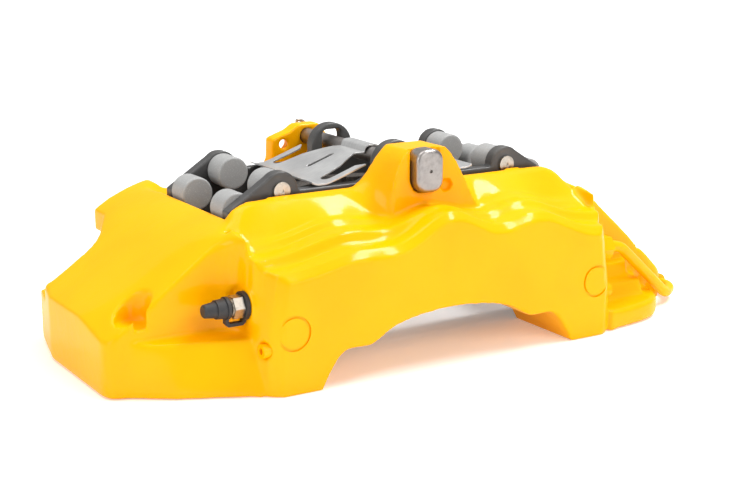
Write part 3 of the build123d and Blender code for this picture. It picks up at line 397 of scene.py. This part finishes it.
def settled(obj: bpy.types.Object) -> bpy.types.Mesh:
    """A new mesh that holds the object's shape with its modifiers applied."""
    graph = bpy.context.evaluated_depsgraph_get()
    return bpy.data.meshes.new_from_object(obj.evaluated_get(graph))


# ------------------------------------------------------------------------- shapes and surfaces
def mount(name: str) -> dict:
    """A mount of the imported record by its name."""
    return next(entry for entry in frame["record"]["mounts"] if entry["name"] == name)


def middles(shape: bmesh.types.BMesh) -> list:
    """The middle of the box round each separate solid of a welded mesh.

    Args:
        shape: The welded mesh, which is only read.

    Returns:
        One point for each solid, in the order of their points.
    """
    found = []
    seen = set()
    for start in shape.verts:
        if start in seen:
            continue
        seen.add(start)
        waiting = [start]
        places = []
        while waiting:
            vertex = waiting.pop()
            places.append(vertex.co.copy())
            for edge in vertex.link_edges:
                other = edge.other_vert(vertex)
                if other not in seen:
                    seen.add(other)
                    waiting.append(other)
        spans = [(min(place[axis] for place in places), max(place[axis] for place in places))
                 for axis in range(3)]
        found.append(Vector([(low + high) / 2 for low, high in spans]))
    return found


def rod(centre: tuple, axis: str, length: float, radius: float, segments: int = 96) -> bmesh.types.BMesh:
    """A closed round rod.

    Args:
        centre: The rod's middle.
        axis: The axis it runs along, X, Y or Z.
        length: Its length in metres.
        radius: Its radius in metres.
        segments: How many faces go round it.

    Returns:
        The rod as a new bmesh.
    """
    turns = {"X": Matrix.Rotation(math.pi / 2, 4, "Y"), "Y": Matrix.Rotation(math.pi / 2, 4, "X")}
    shape = bmesh.new()
    place = Matrix.Translation(centre) @ turns.get(axis, Matrix.Identity(4))
    bmesh.ops.create_cone(shape, cap_ends=True, segments=segments, radius1=radius, radius2=radius,
                          depth=length, matrix=place)
    return shape


def block(low: tuple, high: tuple) -> bmesh.types.BMesh:
    """A closed box between two corners.

    Args:
        low: Its lowest corner.
        high: Its highest corner.

    Returns:
        The box as a new bmesh.
    """
    shape = bmesh.new()
    middle = (Vector(low) + Vector(high)) / 2
    size = Vector(high) - Vector(low)
    place = Matrix.Translation(middle) @ Matrix.Diagonal((*size, 1.0))
    bmesh.ops.create_cube(shape, size=1.0, matrix=place)
    return shape


def tube(centre: tuple, length: float, outer: float, inner: float, segments: int = 96) -> bmesh.types.BMesh:
    """A closed tube along Y, for cutting a ring groove.

    Args:
        centre: The tube's middle.
        length: Its length in metres.
        outer: Its outer radius.
        inner: Its inner radius.
        segments: How many faces go round it.

    Returns:
        The tube as a new bmesh.
    """
    shape = bmesh.new()
    rings = []
    for radius, step in ((outer, -0.5), (outer, 0.5), (inner, 0.5), (inner, -0.5)):
        ring = []
        for index in range(segments):
            turn = math.tau * index / segments
            spot = Vector((radius * math.cos(turn), step * length, radius * math.sin(turn)))
            ring.append(shape.verts.new(spot + Vector(centre)))
        rings.append(ring)
    for index in range(segments):
        after = (index + 1) % segments
        for first, second in zip(rings, rings[1:] + rings[:1]):
            shape.faces.new((first[index], first[after], second[after], second[index]))
    bmesh.ops.recalc_face_normals(shape, faces=shape.faces)
    return shape


def prism(outline: list, low: float, high: float) -> bmesh.types.BMesh:
    """A closed upright prism.

    Args:
        outline: Its corners in X and Y, in order.
        low: The height of its bottom.
        high: The height of its top.

    Returns:
        The prism as a new bmesh.
    """
    shape = bmesh.new()
    rings = [[shape.verts.new((x, y, z)) for x, y in outline] for z in (low, high)]
    for ring in rings:
        shape.faces.new(ring)
    for index in range(len(outline)):
        after = (index + 1) % len(outline)
        shape.faces.new((rings[0][index], rings[0][after], rings[1][after], rings[1][index]))
    bmesh.ops.recalc_face_normals(shape, faces=shape.faces)
    return shape


def cut(body: bpy.types.Object, name: str, shapes: list) -> None:
    """Take closed shapes that don't overlap each other out of a closed body.

    Args:
        body: The object that is cut.
        name: The cut's name.
        shapes: The shapes as bmeshes, which are freed.
    """
    mesh = bpy.data.meshes.new(name)
    joined = bmesh.new()
    for shape in shapes:
        shape.to_mesh(mesh)
        shape.free()
        joined.from_mesh(mesh)
    joined.to_mesh(mesh)
    joined.free()
    tool = link(name, mesh)
    boolean = body.modifiers.new(name, "BOOLEAN")
    boolean.operation = "DIFFERENCE"
    boolean.solver = "MANIFOLD"
    boolean.object = tool
    body.data = settled(body)
    body.modifiers.clear()
    bpy.data.objects.remove(tool)
    LOG.info("%s leaves %d faces", name, len(body.data.polygons))


def relax(body: bpy.types.Object, rounds: int, share_at: Callable[[Vector], float] | None = None) -> None:
    """Smooth a dense mesh, all over or only where a share is given.

    Args:
        body: The object to smooth.
        rounds: How many times each point moves towards its neighbours.
        share_at: How strongly a point is smoothed, from 0 to 1, by its place.
    """
    smooth = body.modifiers.new("relax", "SMOOTH")
    smooth.factor = SMOOTH_FACTOR
    smooth.iterations = rounds
    if share_at is not None:
        members = defaultdict(list)
        for vertex in body.data.vertices:
            share = round(share_at(vertex.co), 1)
            if share > 0:
                members[min(share, 1.0)].append(vertex.index)
        group = body.vertex_groups.new(name="relaxed")
        for share, indices in members.items():
            group.add(indices, share, "REPLACE")
        smooth.vertex_group = group.name
    body.data = settled(body)
    body.modifiers.clear()
    body.vertex_groups.clear()


def even_out(body: bpy.types.Object, voxel: float) -> None:
    """Rebuild a closed body's surface from even cells, ready to be smoothed.

    Args:
        body: The object to rebuild.
        voxel: The size of a cell in metres.
    """
    remesh = body.modifiers.new("cells", "REMESH")
    remesh.mode = "VOXEL"
    remesh.voxel_size = voxel
    body.data = settled(body)
    body.modifiers.clear()


def thin_out(body: bpy.types.Object, triangles: int) -> None:
    """Bring a dense mesh down to a number of triangles.

    Args:
        body: The object to thin.
        triangles: How many triangles it may keep.
    """
    body.data.calc_loop_triangles()
    thin = body.modifiers.new("thin", "DECIMATE")
    thin.ratio = min(1.0, triangles / len(body.data.loop_triangles))
    body.data = settled(body)
    body.modifiers.clear()


def rounded_copy(node: str, name: str, voxel: float, rounds: int, triangles: int) -> bpy.types.Object:
    """A copy of a CAD node with every edge rounded.

    Args:
        node: The CAD node's name.
        name: The copy's name.
        voxel: The size of the cells that its surface is rebuilt from.
        rounds: How many smoothing rounds it gets.
        triangles: How many triangles it may keep.

    Returns:
        The copy, not yet dressed.
    """
    copy = link(name, NODES[node].data.copy())
    even_out(copy, voxel)
    relax(copy, rounds)
    thin_out(copy, triangles)
    return copy


def stand_in(piece: bpy.types.Object, node: str, body: str, finish: Finishes,
             angle: float = 40.0) -> bpy.types.Object:
    """Dress a piece and let it take a CAD node's place.

    Args:
        piece: The new piece.
        node: The CAD node that it stands for.
        body: The CAD body that it moves with.
        finish: Its finish.
        angle: Edges that turn by more than this many degrees stay sharp.

    Returns:
        The same piece.
    """
    dress(piece, finish)
    piece.data.shade_smooth()
    piece.data.set_sharp_from_angle(angle=math.radians(angle))
    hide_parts(node)
    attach(piece, body)
    return piece


# ----------------------------------------------------------------------------------- casting
@dataclass
class Casting:
    """The one-piece body: a cast skin with soft edges, then machined features cut crisp.

    Heights are above the mounting face, depths are behind the wheel-side face, and what is beyond
    or within the wall is counted from the bores' end walls.
    """

    voxel: float = 1.0 * MM
    fine_rounds: int = 3
    soft_rounds: int = 11
    broad_rounds: int = 45
    corner_rounds: int = 110
    fade: float = 5.0 * MM
    ridges_depth: float = 33.0 * MM
    ridges_height: float = 48.0 * MM
    blocks_beyond: float = 0.5 * MM
    blocks_height: float = 27.0 * MM
    corner_within: float = 3.5 * MM
    corner_depth: float = 30.0 * MM
    corner_height: float = 74.0 * MM
    corner_reach: float = 20.0 * MM
    triangles: int = 185_000
    groove_outer: float = 8.6 * MM
    groove_inner: float = 7.3 * MM
    groove_depth: float = 0.9 * MM
    groove_inset: float = 14.5 * MM
    groove_height: float = 30.0 * MM
    pocket_room: float = 0.03 * MM
    bore_room: float = 0.05 * MM
    tab_depth: float = 3.5 * MM
    mouth_gap: float = 1.55 * MM
    plug_gap: float = 0.4 * MM
    plug_depth: float = 12.0 * MM
    plug_sides: int = 48
    lug_height: float = 26.0 * MM
    lug_past: float = 3.0 * MM
    mount_sides: int = 64
    past: float = 1.0 * MM

    def build(self) -> list:
        """Make the skin, hand it the casting's place and give it back."""
        skin = link("caliper_skin", NODES["caliper_body"].data.copy())
        even_out(skin, self.voxel)
        relax(skin, self.fine_rounds)
        relax(skin, self.soft_rounds, self.off_ridges)
        relax(skin, self.broad_rounds, self.low_on_blocks)
        relax(skin, self.corner_rounds, self.near_corner)
        thin_out(skin, self.triangles)
        cut(skin, "pocket_cut", [self.pocket()])
        cut(skin, "round_cuts", self.bores() + self.holes())
        return [stand_in(skin, "caliper_body", "caliper", Finishes.PAINT)]

    @cached_property
    def low(self) -> Vector:
        """The casting's lowest corner."""
        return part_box("caliper_body")[0]

    @cached_property
    def wall(self) -> float:
        """How far the bores' end walls stand from the middle of the caliper."""
        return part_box("gallery_plugs")[1].x + self.plug_gap

    @cached_property
    def corner(self) -> Vector:
        """Where the pipe end's slope meets the wheel-side half's rim."""
        inset = Vector((-self.corner_within, self.corner_depth, self.corner_height))
        return Vector((self.wall, self.low.y, self.low.z)) + inset

    def off_ridges(self, spot: Vector) -> float:
        """How far a point is from the ridges over the wheel-side bores, from 0 to 1."""
        behind = spot.y - self.low.y - self.ridges_depth
        below = self.low.z + self.ridges_height - spot.z
        clear = max(behind, below)
        return min(1.0, max(0.0, clear / self.fade))

    def low_on_blocks(self, spot: Vector) -> float:
        """How far a point is into the low part of the end blocks, from 0 to 1."""
        beyond = abs(spot.x) - self.wall - self.blocks_beyond
        below = self.low.z + self.blocks_height - spot.z
        depth = min(beyond, below)
        return min(1.0, max(0.0, depth / self.fade))

    def near_corner(self, spot: Vector) -> float:
        """How near a point is to where a slope meets a half's rim, from 0 to 1."""
        mirrored = Vector((abs(spot.x), -abs(spot.y), spot.z))
        return max(0.0, 1 - (mirrored - self.corner).length / self.corner_reach)

    def pocket(self) -> bmesh.types.BMesh:
        """The space between the two bore faces, down to the disc."""
        left_low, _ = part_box("outer_abutment_plate_left")
        _, right_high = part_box("inner_abutment_plate_right")
        low, high = CAD_BOUNDS
        ring_low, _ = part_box("inner_dust_ring_middle")
        half_x = (right_high.x - left_low.x) / 2 - self.tab_depth + self.pocket_room
        half_y = ring_low.y - self.mouth_gap + self.pocket_room
        return block((-half_x, -half_y, low.z - self.past), (half_x, half_y, high.z + self.past))

    def bores(self) -> list:
        """The six bores, as wide as their pistons need."""
        shapes = []
        for side in SIDES:
            for bore in BORES:
                low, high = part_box(f"{side}_piston_{bore}")
                middle = (low + high) / 2
                radius = (high.x - low.x) / 2 + self.bore_room
                shapes.append(rod(middle, "Y", high.y - low.y + self.past, radius))
        return shapes

    def holes(self) -> list:
        """Ring grooves on the front face, plug holes and the two mounting holes."""
        shapes = []
        plugs_low, plugs_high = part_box("gallery_plugs")
        plug_middle = (plugs_low + plugs_high) / 2
        plug_radius = (plugs_high.z - plugs_low.z) / 2 + self.bore_room
        bolts = mount("mount_bolts")
        bolt_x = bolts["dims"]["spacing_x_mm"] * MM / 2
        bolt_radius = bolts["dims"]["hole_r_mm"] * MM
        bolt_length = self.lug_height + 2 * self.lug_past
        for sign in (-1, 1):
            groove_x = sign * (self.wall - self.groove_inset)
            groove = (groove_x, self.low.y, self.low.z + self.groove_height)
            shapes.append(tube(groove, 2 * self.groove_depth, self.groove_outer, self.groove_inner))
            plug = (sign * (self.wall - self.past), plug_middle.y, plug_middle.z)
            shapes.append(rod(plug, "X", self.plug_depth, plug_radius, self.plug_sides))
            bolt = (sign * bolt_x, bolts["pos_m"][1], self.low.z + self.lug_height / 2)
            shapes.append(rod(bolt, "Z", bolt_length, bolt_radius, self.mount_sides))
        return shapes


# ---------------------------------------------------------------- pads, pistons and retainers
@dataclass
class Pads:
    """Both pads: plates, linings, shims, counterweights and rivets."""

    plate_voxel: float = 0.55 * MM
    plate_rounds: int = 11
    plate_triangles: int = 60_000
    weight_voxel: float = 0.4 * MM
    weight_rounds: int = 8
    weight_triangles: int = 24_000
    rivet_edge: float = 0.35 * MM
    mark_radius: float = 0.9 * MM
    mark_depth: float = 0.5 * MM
    mark_sides: int = 24
    weld_gap: float = 0.001 * MM
    edge_angle: float = 60.0
    rivet_angle: float = 30.0

    def build(self) -> list:
        """Dress every pad piece and give the pieces back."""
        pieces = []
        for side in SIDES:
            body = f"{side}_pad"
            plate = rounded_copy(f"{side}_pad_plate", f"{side}_plate", self.plate_voxel,
                                 self.plate_rounds, self.plate_triangles)
            pieces.append(stand_in(plate, f"{side}_pad_plate", body, Finishes.PLATE,
                                   self.edge_angle))
            weights = rounded_copy(f"{side}_pad_weights", f"{side}_weights", self.weight_voxel,
                                   self.weight_rounds, self.weight_triangles)
            pieces.append(stand_in(weights, f"{side}_pad_weights", body,
                                   Finishes.WEIGHT, self.edge_angle))
            pieces.append(dress(NODES[f"{side}_pad_lining"], Finishes.LINING))
            pieces.append(dress(NODES[f"{side}_pad_shim"], Finishes.SHIM))
            pieces.append(self.rivets(side))
        return pieces

    def rivets(self, side: str) -> bpy.types.Object:
        """Mark the middle of each rivet head, as the staking tool leaves it.

        Args:
            side: The pad's side, "outer" or "inner".

        Returns:
            The marked rivets.
        """
        node = f"{side}_pad_rivets"
        low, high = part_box(node)
        face = high.y if side == "inner" else low.y
        rivets = link(f"{side}_rivets", NODES[node].data.copy())
        weld = bmesh.new()
        weld.from_mesh(rivets.data)
        bmesh.ops.remove_doubles(weld, verts=weld.verts, dist=self.weld_gap)
        marks = [rod((middle.x, face, middle.z), "Y", 2 * self.mark_depth, self.mark_radius,
                     self.mark_sides) for middle in middles(weld)]
        weld.to_mesh(rivets.data)
        weld.free()
        cut(rivets, f"{side}_rivet_marks", marks)
        stand_in(rivets, node, f"{side}_pad", Finishes.BRIGHT, self.rivet_angle)
        return soften(rivets, self.rivet_edge)


@dataclass
class Cylinders:
    """Pistons with their seals and dust rings."""

    def build(self) -> list:
        """Dress every piston and ring and give them back."""
        pieces = []
        for side in SIDES:
            for bore in BORES:
                pieces.append(dress(NODES[f"{side}_piston_{bore}"], Finishes.PISTON))
                pieces.append(dress(NODES[f"{side}_seal_{bore}"], Finishes.RUBBER))
                pieces.append(dress(NODES[f"{side}_dust_ring_{bore}"], Finishes.RUBBER))
        return pieces


@dataclass
class Retainers:
    """Pin, clip, pad spring and abutment plates."""

    pin_edge: float = 0.5 * MM
    sheet: float = 0.8 * MM
    sheet_edge: float = 0.22 * MM
    foot_length: float = 8.0 * MM
    end_curl: float = 1.3 * MM
    shoulder_reach: float = 11.0 * MM
    shoulder_drop: float = 3.6 * MM
    saddle_reach: float = 4.6 * MM
    waist: float = 12.0 * MM
    hip: float = 24.0 * MM
    foot_end: float = 24.0 * MM
    toe: float = 5.0 * MM
    notch_radius: float = 3.5 * MM
    slot_middle: float = 24.0 * MM
    slot_half: float = 8.0 * MM
    slot_radius: float = 1.3 * MM
    stations: int = 120
    straight_share: float = 0.75
    curl_share: float = 0.6
    hip_drop: float = 4.0 * MM
    notch_lip: float = 1.0 * MM
    past: float = 5.0 * MM
    arc_steps: int = 12
    edge_angle: float = 50.0

    def build(self) -> list:
        """Dress the pieces that hold the pads, press the spring, and give them all back."""
        pieces = [soften(dress(NODES["retaining_pin"], Finishes.PIN), self.pin_edge)]
        pieces.append(dress(NODES["pin_clip"], Finishes.BRIGHT))
        pieces.append(self.spring())
        for side in SIDES:
            for end in ENDS:
                pieces.append(dress(NODES[f"{side}_abutment_plate_{end}"], Finishes.SPRING))
        return pieces

    def height(self, reach: float, rest: float, top: float) -> float:
        """The spring's underside at a distance from the pin.

        Args:
            reach: The distance along the caliper.
            rest: The height of its feet.
            top: The height of its saddle.

        Returns:
            The height, smoothed at each bend.
        """
        low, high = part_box("pad_spring")
        half = (high.x - low.x) / 2
        shoulder = top - self.shoulder_drop
        slope = half - self.foot_length - self.shoulder_reach
        climb = min(1.0, max(0.0, (half - self.foot_length - reach) / slope))
        eased = climb * climb * (3 - 2 * climb)
        rise = self.straight_share * climb + (1 - self.straight_share) * eased
        level = rest + (shoulder - rest) * rise
        saddle = max(0.0, 1 - (reach / self.saddle_reach) ** 4) ** 0.5
        curl = max(0.0, 1 - (half - reach) / (self.curl_share * self.foot_length)) ** 2
        return level + (top - shoulder) * saddle + self.end_curl * curl

    def spring(self) -> bpy.types.Object:
        """Press the spring's sheet over the pin, then cut its notches and slots."""
        low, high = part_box("pad_spring")
        middle = (low.x + high.x) / 2
        rows = []
        shape = bmesh.new()
        for index in range(self.stations + 1):
            x = low.x + (high.x - low.x) * index / self.stations
            z = self.height(abs(x - middle), low.z, high.z - self.sheet)
            corners = ((low.y, z), (high.y, z), (high.y, z + self.sheet), (low.y, z + self.sheet))
            rows.append([shape.verts.new((x, y, level)) for y, level in corners])
        for first, second in zip(rows, rows[1:]):
            for corner in range(4):
                after = (corner + 1) % 4
                shape.faces.new((first[corner], first[after], second[after], second[corner]))
        shape.faces.new(rows[0])
        shape.faces.new(rows[-1])
        bmesh.ops.recalc_face_normals(shape, faces=shape.faces)
        mesh = bpy.data.meshes.new("spring_sheet")
        shape.to_mesh(mesh)
        shape.free()
        sheet = link("pressed_spring", mesh)
        cut(sheet, "spring_cuts", self.notches(middle, high.y) + self.slots(middle))
        stand_in(sheet, "pad_spring", "caliper", Finishes.SPRING, self.edge_angle)
        return soften(sheet, self.sheet_edge, 2, self.edge_angle)

    def notches(self, middle: float, wide: float) -> list:
        """The two side notches that leave a waist over the pin and a toe on each foot.

        Args:
            middle: Where the pin crosses the sheet, along X.
            wide: Half the sheet's width.

        Returns:
            One closed shape for each notch.
        """
        low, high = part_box("pad_spring")
        shapes = []
        for side in (-1, 1):
            right = self.notch_edge(wide)
            left = [(-x, y) for x, y in reversed(right)]
            outline = [(middle + x, side * y) for x, y in right + left]
            shapes.append(prism(outline, low.z - self.past, high.z + self.past))
        return shapes

    def notch_edge(self, wide: float) -> list:
        """Half of a notch's outline, from outside the sheet round the toe to the waist.

        Args:
            wide: Half the sheet's width.

        Returns:
            Corners in X and Y, counted from the pin.
        """
        inner = wide - self.toe
        start = self.foot_end
        mouth = start - 2 * self.notch_radius
        deep = start + 3 * self.notch_radius
        points = [(mouth, wide + self.past), (mouth, wide - self.notch_lip)]
        points += [(start - self.notch_radius, inner), (deep, inner)]
        centre = Vector((deep, inner - self.notch_radius))
        for index in range(1, self.arc_steps):
            turn = math.pi / 2 - math.pi * index / self.arc_steps
            points.append((centre.x + self.notch_radius * math.cos(turn),
                           centre.y + self.notch_radius * math.sin(turn)))
        points.append((deep, inner - 2 * self.notch_radius))
        points += [(start, self.hip - self.hip_drop), (self.shoulder_reach, self.waist)]
        return points

    def slots(self, middle: float) -> list:
        """The narrow slot down the middle of each arm.

        Args:
            middle: Where the pin crosses the sheet, along X.

        Returns:
            One closed shape for each slot.
        """
        low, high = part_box("pad_spring")
        shapes = []
        for side in (-1, 1):
            outline = []
            for end in (1, -1):
                centre = middle + side * self.slot_middle + end * (self.slot_half - self.slot_radius)
                for index in range(self.arc_steps + 1):
                    turn = math.pi * index / self.arc_steps - end * math.pi / 2
                    outline.append((centre + self.slot_radius * math.cos(turn),
                                    self.slot_radius * math.sin(turn)))
            shapes.append(prism(outline, low.z - self.past, high.z + self.past))
        return shapes


@dataclass
class Hydraulics:
    """Bleed screws, caps, pipe, nuts, sleeve and plugs."""

    screw_edge: float = 0.3 * MM
    cap_edge: float = 0.4 * MM
    nut_edge: float = 0.6 * MM
    sleeve_edge: float = 0.6 * MM

    def build(self) -> list:
        """Dress the fluid fittings and give them back."""
        pieces = []
        for side in SIDES:
            pieces.append(soften(dress(NODES[f"{side}_bleed_screw"], Finishes.BRIGHT), self.screw_edge))
            pieces.append(soften(dress(NODES[f"{side}_bleed_cap"], Finishes.RUBBER), self.cap_edge))
            pieces.append(soften(dress(NODES[f"{side}_flare_nut"], Finishes.PAINT), self.nut_edge))
        pieces.append(soften(dress(NODES["pipe_sleeve"], Finishes.PAINT), self.sleeve_edge))
        pieces += [dress(NODES[node], Finishes.PAINT) for node in ("crossover_pipe", "gallery_plugs")]
        return pieces


# ------------------------------------------------------------------------------------ studio
@dataclass
class Studio:
    """Pale floor with a painted glow, soft boxes and the camera."""

    eye: tuple = (-0.4025, -0.6684, 0.2329)
    aim: tuple = (0.002, -0.010, 0.042)
    lens: float = 72.0
    sensor_width: float = 36.0
    floor_half: float = 6.0
    floor_colour: tuple = (0.93, 0.93, 0.93, 1.0)
    floor_roughness: float = 0.6
    # painted light: how strongly the floor glows near the caliper and far away, and over what distances in
    # metres the glow rises
    near_glow: float = 0.2
    far_glow: float = 0.95
    glow_from: float = 0.7
    glow_to: float = 2.4
    world_light: float = 0.5
    lamps: tuple = (
        ("crest_strip", (0.65, -0.1, 1.25), (1.1, 0.22), 20.0),
        ("overhead", (-0.35, 0.35, 1.5), (1.2, 1.0), 11.0),
        ("left_box", (-1.6, -0.3, 0.7), (0.9, 0.9), 9.0),
        ("front_box", (0.35, -1.7, 0.9), (1.2, 0.8), 10.0),
    )

    def build(self) -> list:
        """Set the floor, the lights and the camera, and give the floor back."""
        floor = self.floor()
        for lamp in self.lamps:
            self.softbox(*lamp)
        world = bpy.data.worlds.new("studio")
        world.use_nodes = True
        background = world.node_tree.nodes["Background"]
        background.inputs["Color"].default_value = (1, 1, 1, 1)
        background.inputs["Strength"].default_value = self.world_light
        bpy.context.scene.world = world
        bpy.context.scene.view_settings.view_transform = "Standard"
        self.camera()
        return [floor]

    def floor(self) -> bpy.types.Object:
        """A flat pale floor under the caliper, with painted light: it glows dimly near the caliper and
        almost white far away.
        """
        low = CAD_BOUNDS[0].z
        half = self.floor_half
        corners = [(-half, -half, low), (half, -half, low), (half, half, low), (-half, half, low)]
        mesh = bpy.data.meshes.new("floor")
        mesh.from_pydata(corners, [], [(0, 1, 2, 3)])
        floor = link("floor", mesh)
        graph = Graph("pale_floor_painted_glow")
        # painted light: the floor's own glow grows with distance from the caliper, so the far floor reads
        # as a white backdrop
        away = graph.add("ShaderNodeVectorMath", {"operation": "LENGTH"}, {0: graph.place()}, "Value")
        share = away.between(self.glow_from, self.glow_to)
        near, far = ((*[glow] * 3, 1.0) for glow in (self.near_glow, self.far_glow))
        glow = {"Emission_Color": graph.mix(share, near, far), "Emission_Strength": 1.0}
        plain = {"Base_Color": self.floor_colour, "Roughness": self.floor_roughness}
        floor.data.materials.append(graph.finish(**plain, **glow))
        return floor

    def softbox(self, name: str, place: tuple, size: tuple, power: float) -> None:
        """A rectangular lamp that faces the caliper.

        Args:
            name: The lamp's name.
            place: Where it hangs.
            size: Its width and height.
            power: Its power in watts.
        """
        lamp = bpy.data.lights.new(name, "AREA")
        lamp.shape = "RECTANGLE"
        lamp.size, lamp.size_y = size
        lamp.energy = power
        obj = bpy.data.objects.new(name, lamp)
        obj.location = place
        obj.rotation_mode = "QUATERNION"
        obj.rotation_quaternion = (Vector(self.aim) - Vector(place)).to_track_quat("-Z", "Y")
        bpy.context.scene.collection.objects.link(obj)

    def camera(self) -> None:
        """A camera that looks along the caliper from the bleed-screw end."""
        data = bpy.data.cameras.new("camera")
        data.lens = self.lens
        data.sensor_width = self.sensor_width
        camera = bpy.data.objects.new("camera", data)
        camera.location = self.eye
        camera.rotation_mode = "QUATERNION"
        camera.rotation_quaternion = (Vector(self.aim) - Vector(self.eye)).to_track_quat("-Z", "Y")
        bpy.context.scene.collection.objects.link(camera)
        bpy.context.scene.camera = camera


def main() -> None:
    """Build every sub-assembly in order, then note the sizes."""
    logging.basicConfig(level=logging.INFO, format="%(message)s")
    for part in (Studio(), Casting(), Pads(), Cylinders(), Retainers(), Hydraulics()):
        for piece in part.build():
            LOG.info("%s: %s, %d faces", type(part).__name__, piece.name, len(piece.data.polygons))


if __name__ == "__main__":
    main()
